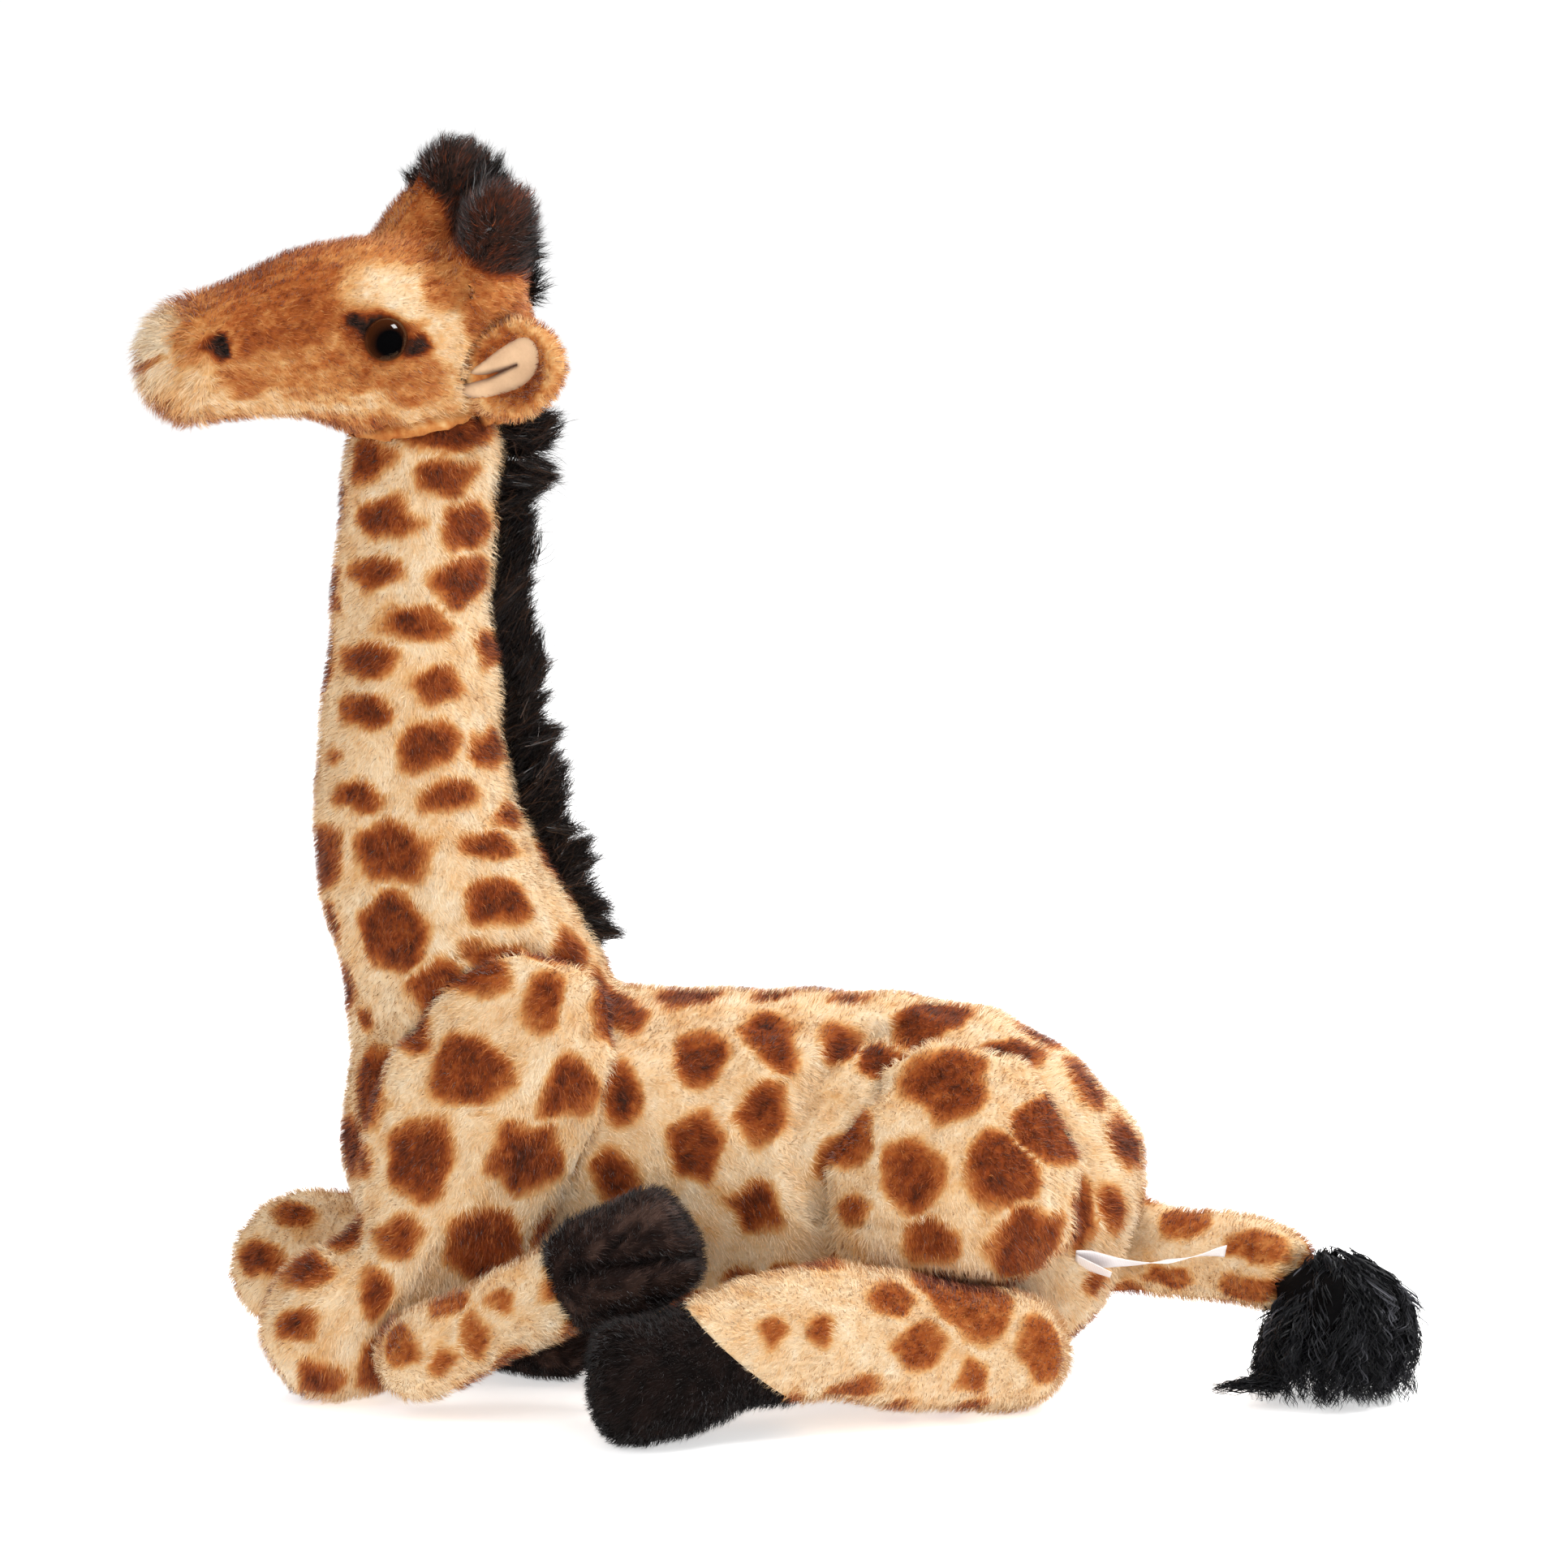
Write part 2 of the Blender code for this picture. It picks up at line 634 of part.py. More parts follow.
# Front legs
UPPER_LEG_SHARES = (  # place on the torso, then half sizes by shoulder radius and width
    (0.231, 0.337, 0.953, 0.743, 0.382),
    (0.214, 0.370, 0.783, 1.000, 0.500),
    (0.158, 0.402, 0.579, 0.886, 0.530),
)
KNEE_OUT_SHARE = 0.446
FOREARM_SHARES = {"near": (0.107, 0.420, 0.340), "far": (0.094, 0.420, 0.250)}  # on the torso
FOREARM_RADIUS_SHARE = 1.02    # by the knee's radius
SHOULDER_ROUND_SHARE = 0.55    # by the shoulder's radius
SHIN_RADIUS_SHARES = (1.0, 0.93, 0.97)
FRONT_HOOF_SHARES = ((0.0, 0.84), (0.42, 1.0), (0.78, 0.95))   # along by length, radius
HOOF_ROUND_SHARE = 0.22        # length of a hoof's rounded end


def knee_centre(side):
    chest = -TORSO_LENGTH / 2
    return Vector((chest - KNEE_AHEAD[side], SIDES[side] * KNEE_OUT_SHARE * TORSO_WIDTH,
                   KNEE_RADIUS - FLOOR_FLAT))


def upper_leg_form(side):
    """Shoulder, forearm and the lump of the folded knee."""
    centres = [on_torso(along, SIDES[side] * out, up)
               for along, out, up, high, wide in UPPER_LEG_SHARES]
    highs = [row[3] * SHOULDER_RADIUS for row in UPPER_LEG_SHARES]
    wides = [row[4] * SHOULDER_WIDTH for row in UPPER_LEG_SHARES]
    knee = knee_centre(side)
    along, out, up = FOREARM_SHARES[side]
    centres += [on_torso(along, SIDES[side] * out, up), knee]
    highs += [FOREARM_RADIUS_SHARE * KNEE_RADIUS, KNEE_RADIUS]
    wides += [(wides[-1] + KNEE_WIDTH / 2) / 2, KNEE_WIDTH / 2]
    return Form(centres, wides, highs, (SHOULDER_ROUND_SHARE * SHOULDER_RADIUS, KNEE_RADIUS),
                sides=14, steps=8)


def front_hinge(side):
    """Centre of the hinge in the folded knee."""
    knee = knee_centre(side)
    if side == "near":
        return Vector((knee.x + NEAR_HINGE_BACK, knee.y - NEAR_HINGE_OUT, NEAR_HINGE_HEIGHT))
    return Vector((knee.x + FAR_HINGE_BACK, knee.y - FAR_HINGE_IN, SHIN_RADIUS - FLOOR_FLAT))


def front_heading(side):
    """Direction of the lower leg from its hinge."""
    if side == "near":
        flat = Vector((cos(NEAR_SHIN_SPREAD), -sin(NEAR_SHIN_SPREAD), 0))
        return flat * cos(NEAR_SHIN_RISE) + UP * sin(NEAR_SHIN_RISE)
    return Vector((cos(FAR_SHIN_TUCK), -sin(FAR_SHIN_TUCK), 0))


def shin_form(side):
    hinge = front_hinge(side)
    length = NEAR_SHIN_LENGTH if side == "near" else FAR_SHIN_LENGTH
    heading = front_heading(side)
    across = heading.cross(UP).normalized()
    radii = [share * SHIN_RADIUS for share in SHIN_RADIUS_SHARES]
    return Form([hinge, hinge + heading * length / 2, hinge + heading * (length - 3 * SEAM_GAP)],
                radii, radii, (SHIN_RADIUS, 2 * SEAM_GAP), side=across, sides=14, steps=3)


def front_hoof_form(side):
    near = side == "near"
    length = FRONT_HOOF_LENGTH if near else FAR_HOOF_LENGTH
    radius = FRONT_HOOF_RADIUS if near else FAR_HOOF_RADIUS
    heading = front_heading(side)
    seam = front_hinge(side) + heading * (NEAR_SHIN_LENGTH if near else FAR_SHIN_LENGTH)
    across = heading.cross(UP).normalized()
    centres = [seam + heading * max(along * length, 2 * SEAM_GAP)
               for along, share in FRONT_HOOF_SHARES]
    radii = [share * radius for along, share in FRONT_HOOF_SHARES]
    radii[0] = max(SHIN_RADIUS, radii[0])
    return Form(centres, radii, radii, (2 * SEAM_GAP, HOOF_ROUND_SHARE * length), side=across,
                sides=14, steps=4, cleft=HOOF_CLEFT)


# Hind legs
THIGH_SEAT_SHARE = 2.35    # height of its lowest section over the folded leg, by that leg's radius
THIGH_SHARES = (  # place on the torso, rise from the seat by thigh width, then half length and width
    (0.744, 0.270, 0.7990, 0.393, 0.370),
    (0.752, 0.375, 0.3525, 0.500, 0.500),
    (0.778, 0.415, 0.0000, 0.430, 0.480),
)
HIND_HOOF_SHARES = (       # along by length, how far down to the floor, radius
    (0.00, 0.0, 0.92),
    (0.42, 0.9, 1.00),
    (0.78, 1.0, 0.95),
)
HOCK_ALONG_SHARE = 0.838
HOCK_OUT_SHARE = 0.587
SHANK_SHARES = (  # along the lower leg, height and half size by its radius
    (0.33, 1.10, 0.975),
    (0.66, 1.45, 1.025),
    (1.00, 1.30, 0.925),
)


def thigh_form(side):
    seat = THIGH_SEAT_SHARE * SHANK_RADIUS
    centres = [on_torso(along, SIDES[side] * out, 0) + UP * (seat + rise * THIGH_WIDTH)
               for along, out, rise, high, wide in THIGH_SHARES]
    rounds = (THIGH_HEIGHT - (centres[0] - centres[-1]).length) / 2
    return Form(centres, [row[4] * THIGH_WIDTH for row in THIGH_SHARES],
                [row[3] * THIGH_LENGTH for row in THIGH_SHARES], (rounds, rounds),
                sides=16, steps=5)


def hock_hinge(side):
    place = on_torso(HOCK_ALONG_SHARE, SIDES[side] * HOCK_OUT_SHARE, 0)
    place.z = HOCK_RADIUS - FLOOR_FLAT
    return place


def hind_heading(side):
    return Vector((-cos(SHANK_SPREAD), SIDES[side] * sin(SHANK_SPREAD), 0))


def shank_form(side):
    hock = hock_hinge(side)
    heading = hind_heading(side)
    centres = [hock]
    radii = [HOCK_RADIUS]
    for along, height, radius in SHANK_SHARES:
        centre = hock + heading * (along * (SHANK_LENGTH - 3 * SEAM_GAP))
        centre.z = height * SHANK_RADIUS
        centres.append(centre)
        radii.append(radius * SHANK_RADIUS)
    return Form(centres, radii, radii, (HOCK_RADIUS, 2 * SEAM_GAP),
                side=heading.cross(UP).normalized(), sides=14, steps=6)


def hind_hoof_form(side):
    heading = hind_heading(side)
    seam = hock_hinge(side) + heading * SHANK_LENGTH
    radius = HIND_HOOF_RADIUS
    seam_height = SHANK_SHARES[-1][1] * SHANK_RADIUS
    centres = []
    for along, level, share in HIND_HOOF_SHARES:
        centre = seam + heading * (along * HIND_HOOF_LENGTH + 2 * SEAM_GAP)
        centre.z = seam_height + level * (radius - FLOOR_FLAT - seam_height)
        centres.append(centre)
    radii = [share * radius for along, level, share in HIND_HOOF_SHARES]
    return Form(centres, radii, radii, (2 * SEAM_GAP, HOOF_ROUND_SHARE * HIND_HOOF_LENGTH),
                side=heading.cross(UP).normalized(), sides=14, steps=4, cleft=HOOF_CLEFT)


# Tail
TAIL_ROOT_SHARES = (0.970, 0.0, 0.319)
TAIL_SHARES = (  # run from the root by length, then half size by radius
    (0.000, 0.000, 0.00, 1.00),
    (0.340, -0.130, 0.00, 1.12),
    (0.680, -0.355, 0.00, 1.12),
    (0.855, -0.500, -0.04, 0.90),
)
TUFT_SHARES = (  # run from the tail's end by length, half size by radius, sink to the floor
    (0.01, -0.01, 0.64, 0.0),
    (0.20, -0.16, 0.95, 0.6),
    (0.36, -0.28, 1.00, 1.0),
    (0.48, -0.37, 0.68, 1.0),
)
TUFT_ROUND_SHARE = 0.3     # by the tuft's radius
LABEL_SHARES = (0.925, -0.385, 0.362)   # where the label leaves the rump's seam


def tail_form():
    root = on_torso(*TAIL_ROOT_SHARES)
    centres = [root + Vector(row[:3]) * TAIL_LENGTH for row in TAIL_SHARES]
    radii = [row[3] * TAIL_RADIUS for row in TAIL_SHARES]
    return Form(centres, radii, radii, (TAIL_RADIUS, 2 * SEAM_GAP), sides=12, steps=6)


def tuft_form():
    end = tail_form().centres[-1]
    centres = []
    for run, out, share, sink in TUFT_SHARES:
        centre = end + Vector((run, out, 0)) * TUFT_LENGTH
        centre.z += sink * (TUFT_RADIUS + TUFT_LIFT - end.z)
        centres.append(centre)
    radii = [row[2] * TUFT_RADIUS for row in TUFT_SHARES]
    return Form(centres, radii, radii, (2 * SEAM_GAP, TUFT_ROUND_SHARE * TUFT_RADIUS),
                sides=12, steps=5)


def label_mesh():
    bm = bmesh.new()
    bmesh.ops.create_cube(bm, size=1.0)
    bmesh.ops.scale(bm, vec=(LABEL_LENGTH, LABEL_THICKNESS, LABEL_WIDTH), verts=bm.verts)
    bmesh.ops.translate(bm, vec=(LABEL_LENGTH / 2, 0, 0), verts=bm.verts)
    place = Matrix.Translation(on_torso(*LABEL_SHARES)) @ Matrix.Rotation(LABEL_TURN, 4, "Z")
    bmesh.ops.transform(bm, matrix=place, verts=bm.verts)
    return bm


# Joints: place, axis and range of every part that flexes
def hinge_of(name):
    """Place, axis and range of a joint; positive angles lift, splay or spread the part."""
    side = "far" if name.startswith("far") else "near"
    sign = SIDES[side]
    if name == "head":
        return neck_ball(), ACROSS, NOD_RANGE
    if name == "tail":
        return on_torso(*TAIL_ROOT_SHARES), UP, TAIL_RANGE
    if name.endswith("ear"):
        return ear_root(side), UP * sign, EAR_RANGE
    if name.endswith("hind_lower_leg"):
        return hock_hinge(side), UP * -sign, HOCK_RANGE
    if side == "near":
        return front_hinge(side), -ACROSS, NEAR_KNEE_RANGE
    return front_hinge(side), UP, FAR_KNEE_RANGE


def build_head(axis):
    """Head, crest, ossicones, ears and eyes, all riding on the nod axis."""
    head = add_piece("head", soft_mesh(head_form()), "head_plush", axis)
    clear_sweep(head, [neck_top_form()], hinge_of("head"), backwards=True)
    crest = add_piece("crest", soft_mesh(crest_form()), "dark_fur", axis)
    trim(crest, head_form())
    for side in SIDES:
        stem, cap = ossicone_forms(side)
        trim(add_piece(side + "_ossicone", soft_mesh(stem), "head_plush", axis), head_form())
        add_piece(side + "_ossicone_tip", soft_mesh(cap), "dark_fur", axis)
        trim(crest, stem)
        trim(crest, cap)

        cut_with(head, eye_pocket_mesh(), eye_frame(side))
        add_piece(side + "_eye", eye_mesh(), "eye_plastic", axis, eye_frame(side))
        add_piece(side + "_eye_washer", washer_mesh(), "washer_plastic", axis, eye_frame(side))

        ear, lining = ear_forms(side)
        hinge = hinge_of(side + "_ear")
        ear_axis = add_axis(side + "_ear_flop", hinge[0], axis)
        add_piece(side + "_ear", soft_mesh(ear), "head_plush", ear_axis)
        trim(add_piece(side + "_ear_lining", soft_mesh(lining), "ear_velour", ear_axis), ear)
        clear_sweep(head, [ear], hinge)


def build():
    torso = add_piece("torso", soft_mesh(torso_form()), "spotted_plush")
    neck = add_piece("neck", soft_mesh(neck_form()), "spotted_plush")
    trim(neck, torso_form())
    mane = add_piece("mane", soft_mesh(mane_form()), "dark_fur")
    trim(mane, neck_form())
    trim(mane, torso_form())
    build_head(add_axis("head_nod", neck_ball()))
    clear_sweep(mane, [head_form()], hinge_of("head"))

    for side in SIDES:
        upper = add_piece(side + "_front_upper_leg", soft_mesh(upper_leg_form(side)),
                          "spotted_plush")
        trim(upper, torso_form())
        trim(upper, neck_form())
        flatten_on_floor(upper)
        name = side + "_front_lower_leg"
        hinge = hinge_of(name)
        axis = add_axis(side + "_knee", hinge[0])
        flatten_on_floor(add_piece(name, soft_mesh(shin_form(side)), "spotted_plush", axis))
        flatten_on_floor(add_piece(side + "_front_hoof", soft_mesh(front_hoof_form(side)),
                                   "hoof_plush", axis))
        lower = [shin_form(side), front_hoof_form(side)]
        clear_sweep(upper, lower, hinge)
        clear_sweep(torso, lower, hinge)

        thigh = add_piece(side + "_thigh", soft_mesh(thigh_form(side)), "spotted_plush")
        trim(thigh, torso_form())
        name = side + "_hind_lower_leg"
        hinge = hinge_of(name)
        axis = add_axis(side + "_hock", hinge[0])
        flatten_on_floor(add_piece(name, soft_mesh(shank_form(side)), "spotted_plush", axis))
        hoof = add_piece(side + "_hind_hoof", soft_mesh(hind_hoof_form(side)),
                         "hoof_plush", axis)
        trim(hoof, shank_form(side))
        flatten_on_floor(hoof)
        clear_sweep(thigh, [shank_form(side)], hinge)
        clear_sweep(torso, [shank_form(side)], hinge)

    hinge = hinge_of("tail")
    axis = add_axis("tail_swing", hinge[0])
    add_piece("tail", soft_mesh(tail_form()), "spotted_plush", axis)
    trim(add_piece("tail_tuft", soft_mesh(tuft_form()), "dark_fur", axis), tail_form())
    clear_sweep(torso, [tail_form()], hinge)
    flatten_on_floor(torso)

    label = add_piece("sewn_label", label_mesh(), "label_satin")
    trim(label, torso_form())
    trim(label, thigh_form("near"))


def centre_on_floor():
    """Move the toy so that its origin is the middle of its bounds, on the floor."""
    bpy.context.view_layer.update()
    corners = [item.matrix_world @ vertex.co for item in bpy.data.objects
               if item.type == "MESH" and not item.hide_render for vertex in item.data.vertices]
    middle = Vector(((min(c.x for c in corners) + max(c.x for c in corners)) / 2,
                     (min(c.y for c in corners) + max(c.y for c in corners)) / 2, 0))
    for item in bpy.data.objects:
        if item.parent is None:
            item.location -= middle


for old in list(bpy.data.objects):
    bpy.data.objects.remove(old, do_unlink=True)
build()
centre_on_floor()
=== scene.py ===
"""Looks of the stuffed giraffe: plush skins, pile, long hair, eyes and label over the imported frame."""
import json
import math

import bmesh
import bpy
import numpy as np
from mathutils import Matrix, Vector
from mathutils.bvhtree import BVHTree


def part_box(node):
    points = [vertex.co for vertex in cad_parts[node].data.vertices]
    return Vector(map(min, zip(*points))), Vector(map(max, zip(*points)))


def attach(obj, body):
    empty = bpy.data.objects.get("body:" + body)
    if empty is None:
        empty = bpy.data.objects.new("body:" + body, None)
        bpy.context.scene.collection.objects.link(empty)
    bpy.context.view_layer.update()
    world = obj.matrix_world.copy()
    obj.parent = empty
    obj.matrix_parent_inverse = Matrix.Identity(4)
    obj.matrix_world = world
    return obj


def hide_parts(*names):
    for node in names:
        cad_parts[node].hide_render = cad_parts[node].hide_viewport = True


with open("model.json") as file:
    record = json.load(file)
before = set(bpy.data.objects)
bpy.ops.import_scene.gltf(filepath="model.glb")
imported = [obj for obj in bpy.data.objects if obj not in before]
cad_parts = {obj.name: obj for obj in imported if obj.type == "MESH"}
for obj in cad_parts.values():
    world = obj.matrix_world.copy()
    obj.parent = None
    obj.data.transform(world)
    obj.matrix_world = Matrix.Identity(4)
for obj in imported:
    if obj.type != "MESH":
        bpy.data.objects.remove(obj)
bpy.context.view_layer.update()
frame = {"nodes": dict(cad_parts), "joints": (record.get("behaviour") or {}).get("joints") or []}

MM = 0.001
TURN = 2 * math.pi
UP = np.array((0.0, 0.0, 1.0))
AWAY = np.array((0.0, 1.0, 0.0))    # level, from the camera
SIDES = ("near", "far")

# Camera that the photograph was taken from
PHOTO_SIZE = 1932
CAMERA_ELEVATION = math.radians(8)
CAMERA_DISTANCE = 2.0
AIM = np.array((1.4, 0.0, 177.0)) * MM
FRAME_WIDTH = 463.7 * MM    # what the photograph spans at the camera's distance
SENSOR = 36.0
CAMERA_BACK = np.array((0.0, -math.cos(CAMERA_ELEVATION), math.sin(CAMERA_ELEVATION)))
CAMERA_UP = np.array((0.0, math.sin(CAMERA_ELEVATION), math.cos(CAMERA_ELEVATION)))
CAMERA_RIGHT = np.array((1.0, 0.0, 0.0))
CAMERA_PLACE = AIM + CAMERA_BACK * CAMERA_DISTANCE
PIXEL = FRAME_WIDTH / PHOTO_SIZE

# Plush
SKIN_VOXEL = 2.2 * MM
SKIN_SINK = 1.5 * MM        # the woven backing lies this far under the outline
SEAM_SINK = 4.5 * MM        # how far a sewn-on piece reaches into the one that carries it
SEAM_NEAR = 1.2 * MM        # vertices this near a carrier are on the seam
PILE_LENGTH = 2.9 * MM
PILE_WIDTH = 0.24 * MM
PILE_PER_MM2 = 2.1
PILE_TILT = math.radians(48)
PILE_MOST = 64000           # strands in one piece; a larger pile is split
PILE_BOW = (0.6, 1.3)       # tilt of a strand's lower and upper half, as shares of the pile's
PILE_TILT_SPREAD = 0.16
PILE_SCATTER = 0.22         # how far a strand strays from the comb direction
PILE_UNEVEN = (0.12, 0.08)  # spread of its lengths, strand by strand and in tufts
SOLE_HEIGHT = 0.8 * MM      # no pile under this where the skin faces down
FLOOR_CLEAR = 0.15 * MM
STRAND_TIP = 0.45           # width of a strand next to its tip, as a share of that at its root

# Colours of the plush from cream to near black, as (place on the ramp, sRGB)
COAT_RAMP = (
    (0.00, (0.960, 0.890, 0.780)),
    (0.12, (0.935, 0.820, 0.660)),
    (0.28, (0.885, 0.690, 0.455)),
    (0.42, (0.800, 0.530, 0.290)),
    (0.56, (0.680, 0.365, 0.165)),
    (0.70, (0.530, 0.240, 0.100)),
    (0.84, (0.330, 0.155, 0.085)),
    (0.92, (0.235, 0.160, 0.130)),
    (1.00, (0.090, 0.065, 0.055)),
)
HOOF_RAMP = (
    (0.0, (0.330, 0.245, 0.210)),
    (0.5, (0.165, 0.112, 0.096)),
    (1.0, (0.080, 0.058, 0.052)),
)
YARN_RAMP = (
    (0.0, (0.340, 0.340, 0.365)),
    (0.5, (0.125, 0.127, 0.142)),
    (1.0, (0.048, 0.051, 0.060)),
)
HAIR_RAMP = (
    (0.0, (0.320, 0.215, 0.150)),
    (0.5, (0.120, 0.090, 0.080)),
    (1.0, (0.045, 0.042, 0.046)),
)
COAT_STEPS = 14
DARK_STEPS = 5
SHEEN_ROUGHNESS = 0.45

# Shades of what isn't plush, in sRGB
VELOUR_SHADES = ((0.71, 0.56, 0.43), (0.87, 0.73, 0.58))
# painted shade of the velour's fold
VELOUR_PAINTED_SHADE = (0.30, 0.15, 0.09)
SATIN_SHADES = ((0.90, 0.88, 0.88), (0.98, 0.96, 0.96))
EYE_SHADES = ((0.020, 0.019, 0.022), (0.22, 0.105, 0.045))
EYE_RIM = 0.62              # share of the eye's radius where its amber rim begins
NYLON_SHADES = ((0.828, 0.8188, 0.7912), (0.90, 0.89, 0.86))

# Spots of the near side as they show in the photograph: pixels of the centre, width and height
SPOT_PIXELS = (
    # (562, 528, 140, 46), right under the jaw, is partly dye and partly painted shade from the head
    (455, 562, 45, 68), (562, 528, 140, 46), (548, 588, 80, 45), (475, 635, 70, 50), (580, 650, 55, 60),
    (462, 705, 70, 45), (572, 712, 70, 60), (512, 768, 90, 45), (603, 800, 25, 50),
    (450, 813, 70, 45), (540, 845, 65, 50), (447, 875, 70, 45), (525, 920, 70, 60),
    (603, 920, 45, 50), (412, 932, 22, 25), (440, 982, 65, 40), (553, 980, 75, 40),
    (628, 1005, 25, 30), (482, 1048, 90, 75), (602, 1040, 70, 35), (615, 1113, 90, 55),
    (487, 1150, 85, 105), (412, 1135, 25, 50), (610, 1175, 90, 30), (700, 1180, 50, 60),
    (425, 1220, 20, 60), (450, 1255, 20, 30),
    (542, 1222, 85, 70), (670, 1235, 55, 70), (755, 1240, 65, 65), (845, 1230, 80, 35),
    (948, 1277, 60, 55), (862, 1305, 70, 65), (578, 1315, 110, 100), (457, 1335, 50, 95),
    (703, 1342, 70, 70), (765, 1348, 50, 80), (942, 1370, 60, 75), (517, 1425, 85, 95),
    (648, 1425, 80, 90), (857, 1415, 70, 85), (755, 1450, 60, 70), (932, 1485, 60, 70),
    (600, 1530, 110, 85), (1150, 1252, 90, 25), (1035, 1290, 50, 60), (1245, 1300, 80, 40),
    (970, 1218, 40, 12), (1045, 1232, 50, 20),
    (1075, 1305, 80, 45), (1168, 1335, 105, 80), (1040, 1400, 85, 90), (1122, 1447, 75, 95),
    (1235, 1440, 95, 90), (1305, 1385, 70, 80), (1325, 1490, 45, 90), (1370, 1490, 30, 60),
    (1050, 1492, 40, 35), (1145, 1528, 70, 60), (1265, 1535, 90, 90), (1195, 1598, 80, 60),
    (1285, 1660, 50, 80), (1200, 1700, 40, 40),
    (965, 1568, 30, 30), (1095, 1600, 60, 40), (955, 1640, 30, 30), (1010, 1640, 35, 35),
    (1135, 1660, 60, 50), (1050, 1710, 70, 25),
    (375, 1565, 60, 40), (365, 1630, 45, 40), (395, 1700, 50, 50), (490, 1525, 55, 50),
    (462, 1590, 40, 70), (490, 1660, 45, 45), (553, 1605, 40, 30), (620, 1600, 40, 25),
    (583, 1645, 30, 60), (545, 1680, 30, 30), (360, 1495, 60, 25), (320, 1550, 60, 40),
    (1460, 1503, 60, 25), (1350, 1580, 30, 30), (1440, 1575, 60, 30), (1550, 1535, 80, 40),
    (1540, 1590, 70, 40),
)
SPOT_DEPTH = 14 * MM        # a spot stays within this of its own surface
SPOT_GAP = 3.2 * MM         # cream between two spots
SPOT_SHRINK = 0.98          # the corners of a spot reach past its half sizes
SPOT_ROUNDNESS = 6          # lower is rounder
SPOT_SOFTNESS = (1.8 * MM, -1.3 * MM)   # the airbrushed rim, outside and inside the outline
SPOT_DEEPENS = (-0.6 * MM, -4.6 * MM)   # the dye darkens between these two depths inside
SPOT_PARTING = 2.4 * MM     # cream left where two spots would run together
SPOT_SIZES = (1.0, 0.8, 0.6)    # of those that fill hidden places, as shares of the skin's spot radius
SPOT_REACH = 0.93           # how much of two spots' radii keeps them apart
SPOT_RIM_TONE = 0.55
SPOT_CORE_TONE = 0.735
CREAM_TONE = 0.14
FACING_LEAST = 0.35         # how foreshortened a spot may be taken to be
SHOWN_FACING = 0.45         # surfaces that face the camera more than this get the photograph's spots alone

# Airbrushing of the head: pixels of the centre, half width, half height, turn in degrees, tone, strength
HEAD_TONE = 0.47
HEAD_PATCHES = (
    (350, 345, 150, 38, -22, 0.58, 0.85),
    (410, 300, 70, 20, -14, 0.50, 0.6),
    (360, 400, 110, 30, -18, 0.63, 0.7),
    (300, 395, 60, 35, -10, 0.58, 0.5),
    (240, 385, 45, 22, -15, 0.44, 0.6),
    (455, 318, 60, 18, -4, 0.40, 0.5),
    (492, 360, 68, 34, 10, 0.13, 1.0),
    (556, 430, 28, 80, -14, 0.15, 0.9),
    (600, 345, 40, 70, -10, 0.54, 0.8),
    (495, 468, 70, 24, -6, 0.46, 0.7),
    (470, 500, 90, 16, 4, 0.18, 0.8),
    (495, 492, 28, 8, -8, 0.64, 0.6),
    (330, 470, 110, 30, 4, 0.38, 0.7),
    (330, 500, 120, 12, 0, 0.18, 0.8),
    (300, 470, 26, 16, 40, 0.55, 0.7),
    (420, 440, 60, 14, -6, 0.52, 0.5),
    (190, 430, 26, 70, 8, 0.06, 1.0),
    (225, 480, 50, 28, 10, 0.16, 0.8),
    (262, 432, 34, 34, 0, 0.26, 0.5),
    (212, 495, 26, 16, 20, 0.30, 0.5),
    (473, 414, 35, 28, 0, 0.96, 1.0),
    (436, 395, 20, 10, 25, 0.95, 0.9),
    (512, 429, 20, 11, -10, 0.95, 0.9),
    (268, 428, 15, 20, 10, 0.98, 1.0),
    (186, 447, 18, 5, -12, 0.66, 0.8),
    (205, 500, 22, 10, 20, 0.44, 0.6),
)
PATCH_EDGE = 0.38


def linear(colour):
    """Linear RGBA of an sRGB colour."""
    values = [c / 12.92 if c <= 0.04045 else ((c + 0.055) / 1.055) ** 2.4 for c in colour]
    return (*values, 1.0)


def ramp_colour(ramp, tone):
    """Linear colour of a tone on a ramp."""
    places = [stop[0] for stop in ramp]
    channels = [np.interp(tone, places, [linear(stop[1])[k] for stop in ramp]) for k in range(3)]
    return (*channels, 1.0)


def smooth(edge0, edge1, value):
    """0 before edge0, 1 after edge1, smooth between; the edges may be in either order."""
    t = np.clip((value - edge0) / (edge1 - edge0), 0.0, 1.0)
    return t * t * (3 - 2 * t)


def unit(vectors):
    """Vectors of length 1."""
    size = np.linalg.norm(vectors, axis=-1, keepdims=True)
    return vectors / np.maximum(size, 1e-12)


def dots(a, b):
    """Row by row dot products, as a column."""
    return (a * b).sum(-1, keepdims=True)


def gap_to_path(points, path):
    """Distance of flat points to a path of straight runs."""
    gap = np.full(len(points), np.inf)
    for a, b in zip(path, path[1:]):
        a, b = np.array(a, float), np.array(b, float)
        along = np.clip((points - a) @ (b - a) / ((b - a) @ (b - a)), 0, 1)[:, None]
        gap = np.minimum(gap, np.linalg.norm(points - a - (b - a) * along, axis=1))
    return gap


class Waves:
    """Smooth noise of about unit spread: a sum of plane waves, the same on every run."""

    def __init__(self, size, seed, count=14):
        draw = np.random.default_rng(seed)
        ways = unit(draw.normal(size=(count, 3)))
        self.ways = ways * (TURN / size) * draw.uniform(0.6, 1.7, (count, 1))
        self.shifts = draw.uniform(0, TURN, count)

    def __call__(self, points):
        return np.sin(points @ self.ways.T + self.shifts).sum(1) / math.sqrt(len(self.shifts) / 2)


